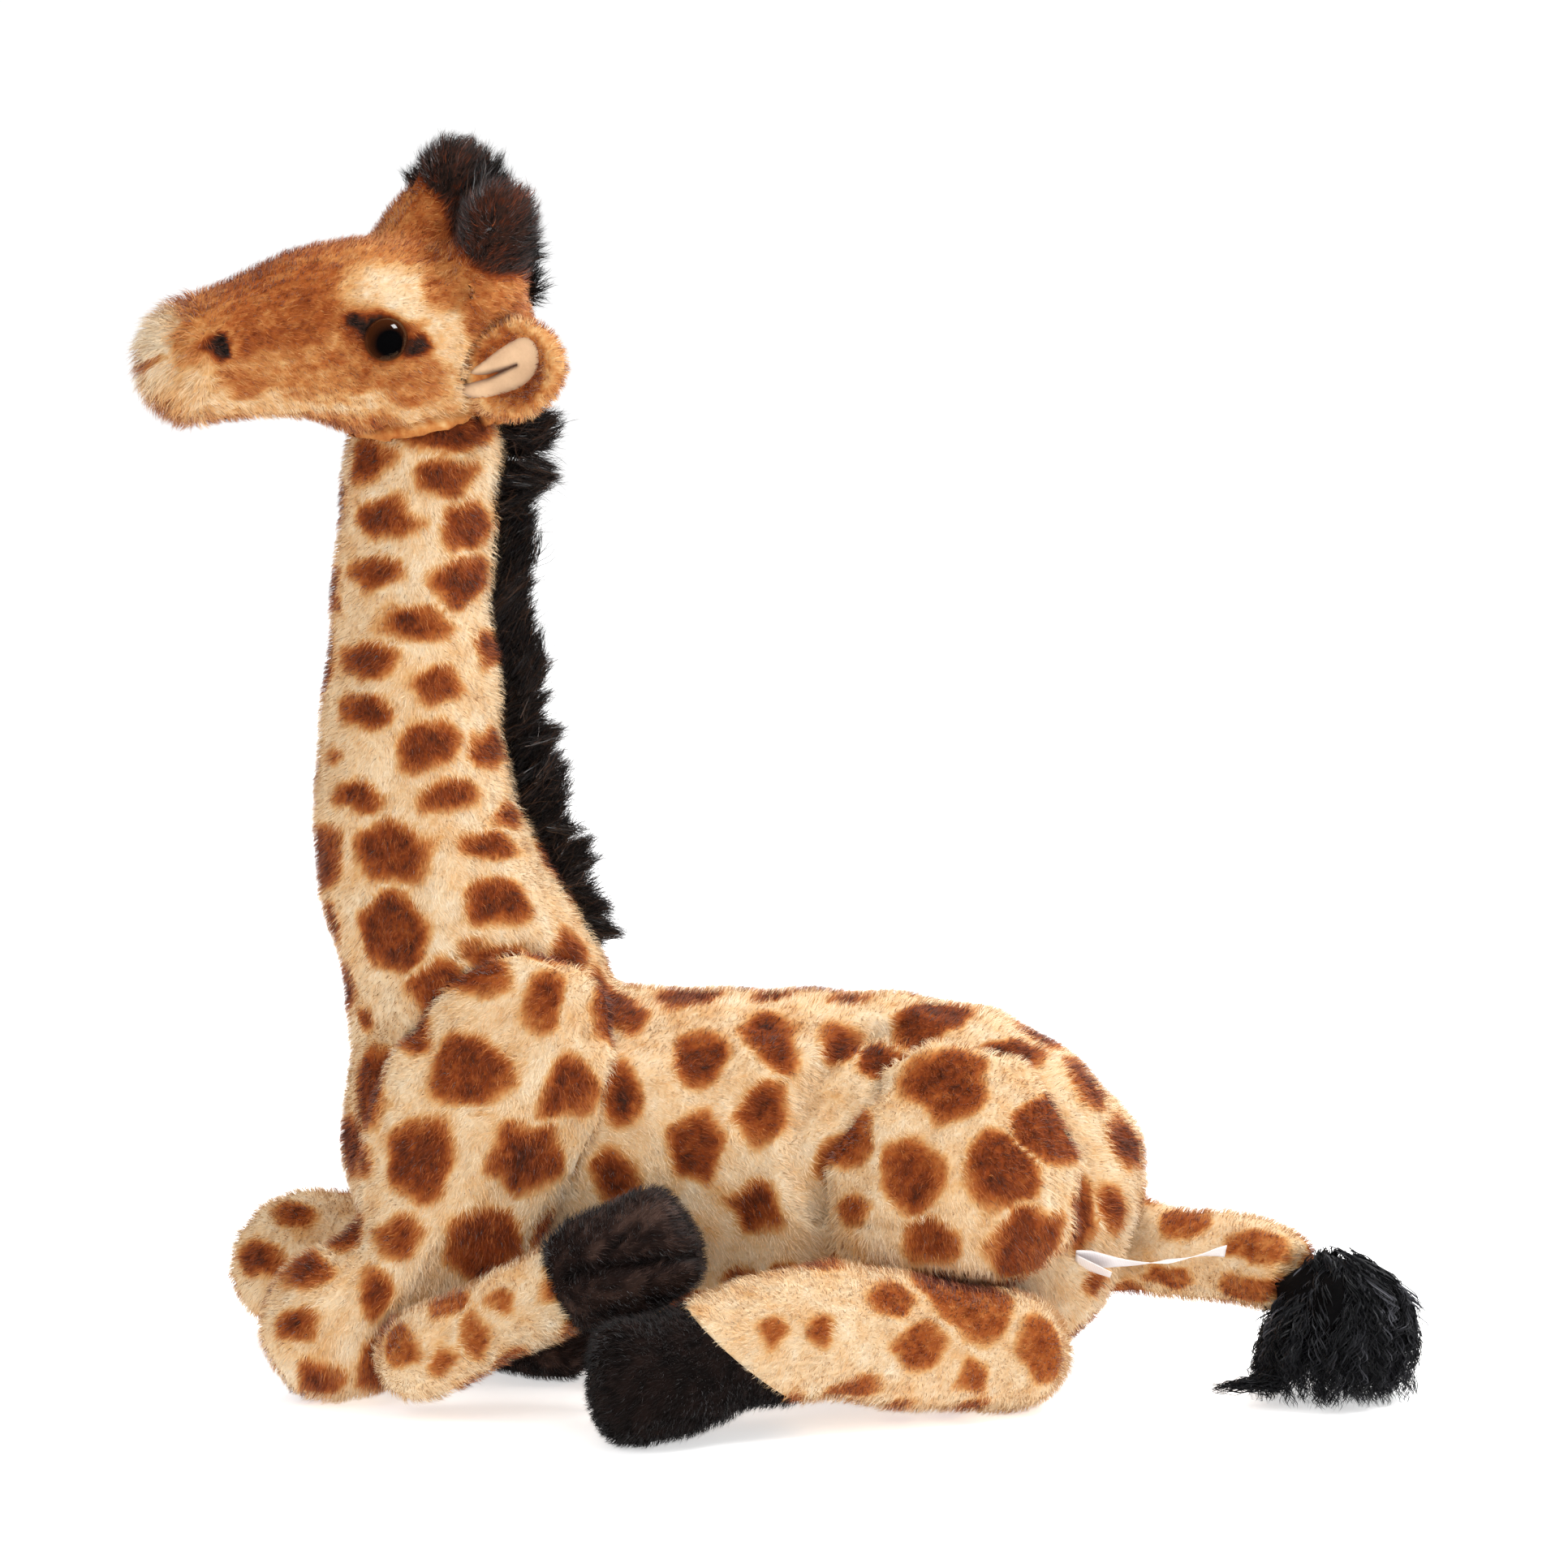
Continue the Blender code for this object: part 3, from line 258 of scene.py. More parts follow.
LUMPS = Waves(34 * MM, 1)
PUCKERS = Waves(11 * MM, 2)
SPOT_WARPS = [Waves(15 * MM, 3 + k) for k in range(3)]
MOTTLE = Waves(4.5 * MM, 7)
GRAIN = Waves(1.9 * MM, 9, 24)
BLOTCH = Waves(12 * MM, 8)
COMB_SWIRLS = [Waves(22 * MM, 10 + k) for k in range(3)]
TUFT_SWIRLS = [Waves(3.4 * MM, 14 + k) for k in range(3)]
TUFT_HEIGHT = Waves(5.0 * MM, 18)


def drift(waves, places):
    """A wandering vector at each place, from three waves."""
    return np.stack([wave(places) for wave in waves], 1)


def mottled(tone, places, blotch, mottle, grain=0.0):
    """A tone with the dye's blotches, mottling and grain, kept between 0 and 1."""
    return np.clip(tone + BLOTCH(places) * blotch + MOTTLE(places) * mottle + GRAIN(places) * grain, 0.0, 1.0)


# Projection into the photograph
def at_pixel(u, v, y):
    """World place that shows at a pixel, in the upright plane at y."""
    ray = pixel_ray(u, v)
    return CAMERA_PLACE + ray * (y - CAMERA_PLACE[1]) / ray[1]


def to_pixels(points):
    """Pixels of the photograph where world points show."""
    away = points - CAMERA_PLACE
    depth = -away @ CAMERA_BACK
    scale = CAMERA_DISTANCE / PIXEL / depth
    return PHOTO_SIZE / 2 + away @ CAMERA_RIGHT * scale, PHOTO_SIZE / 2 - away @ CAMERA_UP * scale


def pixel_ray(u, v):
    """Direction from the camera through a pixel of the photograph."""
    across = (u - PHOTO_SIZE / 2) * PIXEL / CAMERA_DISTANCE
    above = (PHOTO_SIZE / 2 - v) * PIXEL / CAMERA_DISTANCE
    return unit(-CAMERA_BACK + across * CAMERA_RIGHT + above * CAMERA_UP)


# Meshes
def read(items, field, width, kind=np.float32):
    """One field of a mesh's items as rows of an array."""
    values = np.empty(len(items) * width, kind)
    items.foreach_get(field, values)
    return values.reshape(-1, width)


def points_of(mesh):
    """Vertices of a mesh."""
    return read(mesh.vertices, "co", 3).astype(float)


def normals_of(mesh):
    """Vertex normals of a mesh."""
    return read(mesh.vertex_normals, "vector", 3).astype(float)


def triangles_of(mesh):
    """Vertex numbers of a mesh's triangles."""
    mesh.calc_loop_triangles()
    return read(mesh.loop_triangles, "vertices", 3, np.int32)


def set_points(mesh, places):
    """Moves the vertices of a mesh."""
    mesh.vertices.foreach_set("co", places.astype(np.float32).ravel())
    mesh.update()


def tree_of(mesh):
    """Search tree over a mesh."""
    return BVHTree.FromPolygons(points_of(mesh).tolist(), triangles_of(mesh).tolist())


def new_object(name, mesh):
    """A new object in the scene."""
    piece = bpy.data.objects.new(name, mesh)
    bpy.context.scene.collection.objects.link(piece)
    return piece


def apply_modifiers(piece):
    """Puts the evaluated mesh in place of the mesh and its modifiers."""
    graph = bpy.context.evaluated_depsgraph_get()
    made = bpy.data.meshes.new_from_object(piece.evaluated_get(graph))
    piece.modifiers.clear()
    old = piece.data
    piece.data = made
    bpy.data.meshes.remove(old)


def add_modifier(piece, kind, **traits):
    """Adds a modifier to a piece."""
    modifier = piece.modifiers.new(kind.lower(), kind)
    for trait, value in traits.items():
        setattr(modifier, trait, value)


def node_bmesh(node):
    """A node's closed surface with its vertices merged and its normals out."""
    bm = bmesh.new()
    bm.from_mesh(frame["nodes"][node].data)
    bmesh.ops.remove_doubles(bm, verts=bm.verts, dist=0.01 * MM)
    bmesh.ops.recalc_face_normals(bm, faces=bm.faces)
    return bm


def node_tree(node):
    """Search tree over a node."""
    bm = node_bmesh(node)
    tree = BVHTree.FromBMesh(bm)
    bm.free()
    return tree


def skin_mesh(name, nodes, into, grow=0.6 * MM, voxel=SKIN_VOXEL, rounds=6, close=0.0, swell=None):
    """Voxel skin over some nodes: grown, sunk into what carries them, rounded, its inner corners filled."""
    joined = bmesh.new()
    carriers = [node_tree(node) for node in into]
    for node in nodes:
        bm = node_bmesh(node)
        bmesh.ops.triangulate(bm, faces=bm.faces)
        shifts = []
        for vertex in bm.verts:
            shift = vertex.normal * (grow + close + (swell or {}).get(node, 0.0))
            for carrier in carriers:
                _, normal, _, gap = carrier.find_nearest(vertex.co)
                if gap < SEAM_NEAR:
                    shift = -normal * SEAM_SINK
            shifts.append(shift)
        for vertex, shift in zip(bm.verts, shifts):
            vertex.co += shift
        part = bpy.data.meshes.new(name)
        bm.to_mesh(part)
        bm.free()
        joined.from_mesh(part)
        bpy.data.meshes.remove(part)
    mesh = bpy.data.meshes.new(name)
    joined.to_mesh(mesh)
    joined.free()
    piece = new_object(name, mesh)
    add_modifier(piece, "REMESH", mode="VOXEL", voxel_size=voxel)
    add_modifier(piece, "SMOOTH", factor=0.5, iterations=rounds)
    apply_modifiers(piece)
    if close:
        set_points(piece.data, points_of(piece.data) - normals_of(piece.data) * close)
    return piece


def sink(mesh, lumps, puckers):
    """Moves a skin in to where the woven backing lies, uneven as stuffing leaves it and flat on the floor."""
    places = points_of(mesh)
    uneven = LUMPS(places) * lumps + PUCKERS(places) * puckers
    places += normals_of(mesh) * (uneven - SKIN_SINK)[:, None]
    places[:, 2] = np.maximum(places[:, 2], FLOOR_CLEAR)
    set_points(mesh, places)


def make_skin(name, nodes, into=(), lumps=0.5 * MM, **shape):
    """A plush backing over some nodes."""
    piece = skin_mesh(name, nodes, into, **shape)
    sink(piece.data, lumps, lumps * 0.25)
    piece.data.shade_smooth()
    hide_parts(*nodes)
    return piece


def ring_faces(count, rings, tip=False):
    """Faces from a first vertex over rings of vertices, and on to a last vertex where there is a tip."""
    last = 1 + (rings - 1) * count
    faces = []
    for k in range(count):
        after = (k + 1) % count
        faces.append((0, 1 + k, 1 + after))
        faces += [(a + k, a + count + k, a + count + after, a + after) for a in range(1, last, count)]
        if tip:
            faces.append((last + k, last + count, last + after))
    return faces


def mesh_of(name, verts, faces):
    """A mesh of vertices and faces."""
    mesh = bpy.data.meshes.new(name)
    mesh.from_pydata([tuple(vertex) for vertex in verts], [], faces)
    return mesh


def face_out(mesh, towards=None):
    """Turns the faces of a closed mesh out, or those of an open one towards a direction."""
    bm = bmesh.new()
    bm.from_mesh(mesh)
    bmesh.ops.recalc_face_normals(bm, faces=bm.faces)
    if towards is not None and sum(face.normal.dot(towards) for face in bm.faces) < 0:
        bmesh.ops.reverse_faces(bm, faces=bm.faces)
    bm.to_mesh(mesh)
    bm.free()


def set_material(piece, material):
    """Gives a piece one material."""
    piece.data.materials.clear()
    piece.data.materials.append(material)


def settle(pieces, body):
    """Lets pieces ride on a body."""
    for piece in pieces:
        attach(piece, body)


def store_tone(mesh, tones):
    """Keeps the tone on a mesh for its material."""
    mesh.attributes.new("tone", "FLOAT", "POINT").data.foreach_set("value", np.array(tones, np.float32))


# Materials
def new_material(name, roughness, sheen=0.0, specular=0.3):
    """A Principled material with what is the same all over it set."""
    material = bpy.data.materials.new(name)
    material.use_nodes = True
    shader = material.node_tree.nodes["Principled BSDF"]
    shader.inputs["Roughness"].default_value = roughness
    shader.inputs["Specular IOR Level"].default_value = specular
    shader.inputs["Sheen Weight"].default_value = sheen
    shader.inputs["Sheen Roughness"].default_value = SHEEN_ROUGHNESS
    return material, shader


def palette(name, ramp, steps, roughness, sheen, specular):
    """Dyed fibres in a run of shades along a ramp."""
    made = []
    for step in range(steps):
        material, shader = new_material(f"{name}_{step:02d}", roughness, sheen, specular)
        colour = ramp_colour(ramp, step / (steps - 1))
        shader.inputs["Base Color"].default_value = colour
        material.diffuse_color = colour
        made.append(material)
    return made


def add_node(material, kind, values=(), **traits):
    """A shader node with some of its inputs and traits set."""
    made = material.node_tree.nodes.new(f"ShaderNode{kind}")
    for trait, value in traits.items():
        setattr(made, trait, value)
    for socket, value in dict(values).items():
        made.inputs[socket].default_value = value
    return made


def link(material, *wires):
    """Joins nodes: each wire is a node, its output, another node and its input."""
    for source, output, target, socket in wires:
        material.node_tree.links.new(source.outputs[output], target.inputs[socket])


def add_texture(material, kind, values):
    """A texture in the object's own coordinates."""
    texture = add_node(material, kind, values)
    link(material, (add_node(material, "TexCoord"), "Object", texture, "Vector"))
    return texture


def add_ramp(material, stops):
    """A colour ramp through linear colours at their places."""
    made = add_node(material, "ValToRGB")
    elements = made.color_ramp.elements
    while len(elements) < len(stops):
        elements.new(0.5)
    for element, (place, colour) in zip(elements, stops):
        element.position = place
        element.color = colour
    return made


def add_shades(material, shades, start=0.0):
    """A colour ramp between two sRGB shades."""
    return add_ramp(material, ((start, linear(shades[0])), (1.0, linear(shades[1]))))


def add_bump(material, shader, source, strength, distance):
    """Relief from a texture."""
    bump = add_node(material, "Bump", {"Strength": strength, "Distance": distance})
    link(material, (source, "Fac", bump, "Height"), (bump, "Normal", shader, "Normal"))


def backing_material(name, ramp, darken):
    """Woven backing: the tone of the pile above it, mottled and darkened by the pile's shade."""
    material, shader = new_material(name, roughness=0.95, specular=0.1)
    tone = add_node(material, "Attribute", attribute_name="tone")
    grain = add_texture(material, "TexNoise", {"Scale": 900, "Detail": 4})
    spread = add_node(material, "Math", {1: 0.22, 2: -0.11}, operation="MULTIPLY_ADD")
    added = add_node(material, "Math", operation="ADD")
    stops = [(place, [channel * darken for channel in linear(colour)[:3]] + [1.0]) for place, colour in ramp]
    colours = add_ramp(material, stops)
    link(material, (grain, "Fac", spread, 0), (tone, "Fac", added, 0), (spread, 0, added, 1),
         (added, 0, colours, "Fac"), (colours, "Color", shader, "Base Color"))
    add_bump(material, shader, grain, 0.6, 0.5 * MM)
    return material


def velour_material():
    """Short-napped velour of the ears, with painted shade in its fold; the same dark colour also darkens its
    edge.
    """
    material, shader = new_material("velour", roughness=0.88, sheen=0.35, specular=0.2)
    nap = add_texture(material, "TexNoise", {"Scale": 1400, "Detail": 5})
    cloud = add_texture(material, "TexNoise", {"Scale": 160})
    fold = add_node(material, "Attribute", attribute_name="tone")
    blend = add_node(material, "Math", {1: 0.35}, operation="MULTIPLY_ADD")
    colours = add_shades(material, VELOUR_SHADES)
    shade = add_node(material, "MixRGB", {"Color2": linear(VELOUR_PAINTED_SHADE)})
    link(material, (nap, "Fac", blend, 0), (cloud, "Fac", blend, 2), (blend, 0, colours, "Fac"),
         (colours, "Color", shade, "Color1"), (fold, "Fac", shade, "Fac"),
         (shade, "Color", shader, "Base Color"))
    add_bump(material, shader, nap, 0.5, 0.25 * MM)
    return material


def satin_material():
    """Woven white satin with fine ribs."""
    material, shader = new_material("label_satin_weave", roughness=0.38, sheen=0.2, specular=0.5)
    ribs = add_texture(material, "TexWave", {"Scale": 900, "Distortion": 1.0})
    colours = add_shades(material, SATIN_SHADES)
    link(material, (ribs, "Fac", colours, "Fac"), (colours, "Color", shader, "Base Color"))
    add_bump(material, shader, ribs, 0.25, 0.05 * MM)
    return material


def eye_material():
    """Glossy black eye with a dark amber rim."""
    material, shader = new_material("eye_gloss", roughness=0.05, specular=0.40)
    radius = add_node(material, "Attribute", attribute_name="tone")
    grain = add_node(material, "TexNoise", {"Scale": 700})
    spread = add_node(material, "Math", {1: 0.12}, operation="MULTIPLY_ADD")
    colours = add_shades(material, EYE_SHADES, EYE_RIM)
    link(material, (grain, "Fac", spread, 0), (radius, "Fac", spread, 2), (spread, 0, colours, "Fac"),
         (colours, "Color", shader, "Base Color"))
    return material


def nylon_material():
    """Moulded nylon with a faint grain."""
    material, shader = new_material("washer_nylon", roughness=0.45)
    grain = add_node(material, "TexNoise", {"Scale": 400})
    colours = add_shades(material, NYLON_SHADES)
    link(material, (grain, "Fac", colours, "Fac"), (colours, "Color", shader, "Base Color"))
    return material


# Plushes, each a backing and its fibres
COAT = (backing_material("coat_backing", COAT_RAMP, 0.80),
        palette("coat_fibre", COAT_RAMP, COAT_STEPS, 0.72, 0.25, 0.25))
HOOF = (backing_material("hoof_backing", HOOF_RAMP, 0.70),
        palette("hoof_fibre", HOOF_RAMP, DARK_STEPS, 0.70, 0.15, 0.25))
HAIR_BACKING = backing_material("hair_backing", HAIR_RAMP, 0.60)
HAIR_FIBRES = palette("hair_fibre", HAIR_RAMP, DARK_STEPS, 0.42, 0.10, 0.45)
YARN_FIBRES = palette("yarn_fibre", YARN_RAMP, DARK_STEPS, 0.55, 0.10, 0.35)
VELOUR = velour_material()
SATIN = satin_material()


# Strands
def sample_surface(mesh, count, draw):
    """Random places spread evenly over a mesh, with their normals."""
    corners = triangles_of(mesh)
    places, normals = points_of(mesh), normals_of(mesh)
    a, b, c = (places[corners[:, k]] for k in range(3))
    areas = np.linalg.norm(np.cross(b - a, c - a), axis=1) / 2
    picked = np.searchsorted(np.cumsum(areas) / areas.sum(), draw.random(count))
    r, s = np.sqrt(draw.random(count)), draw.random(count)
    shares = np.stack((1 - r, r * (1 - s), r * s), 1)[:, :, None]
    spots = (places[corners[picked]] * shares).sum(1)
    return spots, unit((normals[corners[picked]] * shares).sum(1))


def add_strands(name, lines, across, width, shade, fibres, shade_normals=None):
    """A piece of tapered ribbons along lines (strand, point, xyz); shade is each strand's place in fibres."""
    count, points = lines.shape[:2]
    half = across[:, None, :] * (width / 2) * np.linspace(1.0, STRAND_TIP, points - 1)[None, :, None]
    body = lines[:, :-1]
    sides = np.stack((body - half, body + half), 2).reshape(count, -1, 3)
    verts = np.concatenate((sides, lines[:, -1:]), 1)
    per = verts.shape[1]
    verts[:, :, 2] = np.maximum(verts[:, :, 2], FLOOR_CLEAR)
    quads = [(2 * k, 2 * k + 1, 2 * k + 3, 2 * k + 2) for k in range(points - 2)]
    pattern = np.array([i for quad in quads for i in quad] + [per - 3, per - 2, per - 1])
    loops = (np.arange(count)[:, None] * per + pattern[None, :]).ravel()
    faces = len(quads) + 1
    starts = (np.arange(count)[:, None] * len(pattern) + np.arange(faces)[None, :] * 4).ravel()
    mesh = bpy.data.meshes.new(name)
    mesh.vertices.add(count * per)
    mesh.vertices.foreach_set("co", verts.astype(np.float32).ravel())
    mesh.loops.add(len(loops))
    mesh.loops.foreach_set("vertex_index", loops.astype(np.int32))
    mesh.polygons.add(count * faces)
    mesh.polygons.foreach_set("loop_start", starts.astype(np.int32))
    mesh.polygons.foreach_set("material_index", np.repeat(shade, faces).astype(np.int32))
    mesh.update(calc_edges=True)
    mesh.shade_smooth()
    if shade_normals is not None:
        mesh.normals_split_custom_set_from_vertices(np.repeat(shade_normals, per, axis=0))
    for fibre in fibres:
        mesh.materials.append(fibre)
    return new_object(name, mesh)


def shade_index(tones, steps, draw, spread):
    """Material index of each strand, dithered so that neighbours differ as dyed fibres do."""
    jitter = draw.normal(0.0, spread, len(tones)) + draw.uniform(-0.5, 0.5, len(tones)) / (steps - 1)
    return np.clip(np.rint((tones + jitter) * (steps - 1)), 0, steps - 1).astype(int)


def comb_field(places, normals, comb, swirl):
    """Which way the pile leans at each place: the comb direction along the surface, swirled."""
    way = comb + drift(COMB_SWIRLS, places) * swirl + drift(TUFT_SWIRLS, places) * swirl * 1.1
    return unit(way - normals * dots(way, normals))


def add_pile(skin, fibres, tones_at, comb, seed, length=PILE_LENGTH, density=PILE_PER_MM2, tilt=PILE_TILT,
             swirl=0.20, spread=0.04, width=PILE_WIDTH, keep=None):
    """Short dense pile over a skin."""
    draw = np.random.default_rng(seed)
    area = float(read(skin.data.polygons, "area", 1).ravel().sum())
    roots, normals = sample_surface(skin.data, int(area / MM ** 2 * density), draw)
    wanted = (roots[:, 2] > SOLE_HEIGHT) | (normals[:, 2] > -0.3)
    if keep is not None:
        wanted &= keep(roots)
    roots, normals = roots[wanted], normals[wanted]
    count = len(roots)
    lean = comb_field(roots, normals, comb(roots) if callable(comb) else np.array(comb), swirl)
    tilts = tilt + draw.normal(0, PILE_TILT_SPREAD, count)[:, None]
    scatter = unit(draw.normal(size=(count, 3))) * PILE_SCATTER
    start, end = (unit(normals * np.cos(tilts * bow) + lean * np.sin(tilts * bow) + scatter)
                  for bow in PILE_BOW)
    mean = length(roots) if callable(length) else np.full(count, length)
    uneven = draw.normal(0, PILE_UNEVEN[0], count) + PILE_UNEVEN[1] * TUFT_HEIGHT(roots)
    sizes = mean * np.clip(1 + uneven, 0.5, 1.5)
    middle = roots + start * sizes[:, None] * 0.5
    lines = np.stack((roots, middle, middle + end * sizes[:, None] * 0.5), 1)
    facing = unit(np.cross(start, normals + unit(draw.normal(size=(count, 3))) * 0.5))
    soft = unit(normals * 0.75 + np.cross(facing, start) * 0.35)
    soft *= np.sign(dots(soft, normals))
    tones = tones_at(roots, normals)
    shade = shade_index(tones, len(fibres), draw, spread * (0.4 + 1.6 * tones))
    name = skin.name.replace("_backing", "_pile")
    pieces = []
    for part in np.array_split(np.argsort(-roots[:, 2]), math.ceil(count / PILE_MOST)):
        label = f"{name}_{len(pieces) + 1}" if pieces else name
        pieces.append(add_strands(label, lines[part], facing[part], width, shade[part], fibres, soft[part]))
    return pieces


def dress(skin, plush, tones_at, comb, body, slot, seed, **pile):
    """Gives a skin its backing and its pile, and lets both ride on a body."""
    backing, fibres = plush
    store_tone(skin.data, tones_at(points_of(skin.data), normals_of(skin.data)))
    set_material(skin, backing)
    settle((skin, *add_pile(skin, fibres, tones_at, comb, seed, **pile)), body)


# Spots
class Spots:
    """Airbrushed spots on one skin: those seen in the photograph, then others that fill what it hides."""

    def __init__(self, skin, own, base_radius, tries, seed, shown, dye):
        self.rows = []      # centre, up, side, normal, half sizes and outline of each
        self.draw = np.random.default_rng(seed + 1000)
        self.shown, self.dye = shown, dye
        for place, normal, half in own:
            self.add(place, normal, half, 0.0)
        self.fill(skin, base_radius, tries, seed)

    def add(self, place, normal, half, turn):
        """Adds a spot with an outline of a few uneven corners."""
        side = np.cross(UP, normal)
        if np.linalg.norm(side) < 0.2:
            side = np.cross(AWAY, normal)
        side = unit(side)
        side = side * math.cos(turn) + np.cross(normal, side) * math.sin(turn)
        corners = self.draw.integers(5, 7)
        angles = (np.arange(corners) + self.draw.uniform(-0.22, 0.22, corners)) * TURN / corners
        angles += self.draw.uniform(0, TURN)
        reach = self.draw.uniform(0.90, 1.08, corners)
        outline = np.stack((np.cos(angles), np.sin(angles)), 1) / reach[:, None]
        self.rows.append((place, np.cross(normal, side), side, normal, half, outline))

    def crowded(self, place, radius):
        """Whether a spot at a place would run into another."""
        if not self.rows:
            return False
        centres = np.array([row[0] for row in self.rows])
        reach = np.array([row[4].max() for row in self.rows]) * SPOT_REACH + radius * SPOT_REACH + SPOT_GAP
        return (np.linalg.norm(centres - place, axis=1) < reach).any()

    def fill(self, skin, base_radius, tries, seed):
        """Adds spots of three sizes, large ones first, wherever there is room."""
        draw = np.random.default_rng(seed)
        for share in SPOT_SIZES:
            for place, normal in zip(*sample_surface(skin.data, tries, draw)):
                radius = base_radius * share * draw.uniform(0.85, 1.12)
                if not self.shown(place, normal) and not self.crowded(place, radius):
                    stretch = draw.uniform(0.82, 1.2)
                    half = np.array((radius * stretch, radius / stretch))
                    self.add(place, normal, half, draw.uniform(-0.6, 0.6))

    def tones(self, places, normals):
        """Tone of the coat at places on the skin."""
        warped = places + drift(SPOT_WARPS, places) * 0.7 * MM
        nearest, second = np.full(len(places), 1.0), np.full(len(places), 1.0)
        for centre, up, side, normal, half, outline in self.rows:
            away = warped - centre
            close = np.abs(away).max(1) < half.max() * 2.2
            if not close.any():
                continue
            away = away[close]
            flat = np.stack((away @ side / half[0], away @ up / half[1]), 1)
            pushed = np.clip(flat @ outline.T, 0, None) ** SPOT_ROUNDNESS
            share = np.hypot(pushed.sum(1) ** (1 / SPOT_ROUNDNESS), away @ normal / SPOT_DEPTH)
            gap = (share - 1) * half.mean()
            second[close] = np.minimum(second[close], np.maximum(nearest[close], gap))
            nearest[close] = np.minimum(nearest[close], gap)
        mottle, blotch, grain = MOTTLE(places), BLOTCH(places), GRAIN(places)
        nearest += mottle * 0.25 * MM
        covered = smooth(*SPOT_SOFTNESS, nearest) * smooth(0.2 * MM, SPOT_PARTING, second - nearest)
        deep = smooth(*SPOT_DEEPENS, nearest)
        cream = CREAM_TONE + blotch * 0.035 + mottle * 0.02 + grain * 0.018
        core = SPOT_RIM_TONE + (SPOT_CORE_TONE - SPOT_RIM_TONE) * deep * self.dye
        core += mottle * 0.035 + blotch * 0.03 + grain * 0.035
        return np.clip(cream + (core - cream) * covered, 0.0, 1.0)


def first_hit(trees, ray):
    """The nearest of some surfaces that the camera sees along a ray."""
    hits = []
    for name, tree in trees.items():
        place, normal, _, gap = tree.ray_cast(Vector(CAMERA_PLACE), Vector(ray))
        if place is not None:
            hits.append((gap, name, np.array(place), np.array(normal)))
    return min(hits, key=lambda hit: hit[0]) if hits else None


def shown_by(trees):
    """Test whether the photograph shows a place well, so that only its own spots go there."""
    def shown(place, normal):
        away = place - CAMERA_PLACE
        if normal @ CAMERA_BACK < SHOWN_FACING:
            return False
        hit = first_hit(trees, unit(away))
        return hit is not None and hit[0] > np.linalg.norm(away) - 2 * MM
    return shown


def photo_spots(trees):
    """Where the camera's rays through the photograph's spots meet the skins."""
    found = {name: [] for name in trees}
    middle = np.array((PHOTO_SIZE, PHOTO_SIZE)) / 2
    for u, v, wide, high in SPOT_PIXELS:
        for step in range(6):
            inward = (middle - (u, v)) * 0.012 * step
            hit = first_hit(trees, pixel_ray(u + inward[0], v + inward[1]))
            if hit:
                break
        if not hit:
            continue
        _, name, place, normal = hit
        side = unit(np.cross(UP, normal) + 1e-6)
        up = np.cross(normal, side)
        half = SPOT_SHRINK * np.array((
            wide / 2 * PIXEL / max(abs(side @ CAMERA_RIGHT), FACING_LEAST),
            high / 2 * PIXEL / max(abs(up @ CAMERA_UP), FACING_LEAST),
        ))
        found[name].append((place, normal, half))
    return found


def even_tone(value, blotch=0.03, mottle=0.04):
    """A coat of one tone, a little mottled."""
    return lambda places, normals: mottled(value, places, blotch, mottle)


# Spotted pieces: name, what carries them, body, comb direction, spot radius in millimetres, tries, dye
SPOTTED = (
    ("body", (), "trunk", None, 10.0, 900, 1.0),
    ("near_front_upper_leg", ("torso", "neck"), "trunk", (-0.4, 0.0, -1.0), 11.0, 900, 1.0),
    ("far_front_upper_leg", ("torso", "neck"), "trunk", (-0.4, 0.0, -1.0), 11.0, 900, 0.9),
    ("near_thigh", ("torso",), "trunk", (0.3, 0.0, -1.0), 10.5, 900, 0.8),
    ("far_thigh", ("torso",), "trunk", (0.3, 0.0, -1.0), 10.5, 900, 0.8),
    ("near_front_lower_leg", ("near_front_upper_leg",), "near_front_lower", (1.0, 0.0, 0.4), 4.5, 60, 0.2),
    ("far_front_lower_leg", ("far_front_upper_leg",), "far_front_lower", (0.8, -0.6, 0.0), 4.5, 60, 0.2),
    ("tail", ("torso",), "tail_body", (1.0, -0.5, -0.1), 6.0, 40, 0.1),
)
BODY_NODES = ("torso", "neck")
HIND_SPOTS = (6.5 * MM, 60)     # radius, tries
HIND_DYE = 0.3
HIND_CLOSE = 3.0 * MM
HOOF_LINE = ((833, 1598), (950, 1704))      # pixels of the slanted seam between the hind leg and its hoof
HOOF_TONE = 0.46
CUT_CLEAR = 0.25 * MM       # pile stays this far from the flat face at a seam

# Creases of the near front hoof, as pixels
HOOF_SOLE = ((700, 1570), (745, 1560), (800, 1556), (862, 1545))
HOOF_CLEFT = ((745, 1545), (765, 1525), (782, 1512))
# painted shade in the hoof's creases, and painted highlights on its crown and its lower lobe
HOOF_PAINTED_SHADING = (             # shade in its creases and light on its crown: path, tone, half width in pixels
    (HOOF_SOLE, 0.42, 9), (HOOF_CLEFT, 0.30, 6), (((772, 1500), (815, 1492)), -0.38, 15),
    (((720, 1600), (790, 1590)), -0.14, 14),
)
SEAM_LINES = (              # skins pressed in, pixels along the seam, depth in millimetres, half width
    (("body", "near_front_upper_leg"), ((556, 1182), (600, 1166), (645, 1163), (700, 1190)), 1.6, 7),
    (("body", "near_thigh"),
     ((1010, 1505), (978, 1480), (972, 1420), (1000, 1340), (1040, 1290), (1110, 1262)), 2.2, 8),
    (("near_thigh",), ((1040, 1505), (1100, 1512)), 1.5, 6),
    (("near_front_hoof",), HOOF_SOLE, 4.2, 9),
    (("near_front_hoof",), HOOF_CLEFT, 2.0, 7),
)
SUNK_PATCH = (1100, 1400, 128, 140, 0)      # where the body lies lower, so that the thigh over it shows whole
SUNK_DEPTH = 4.0


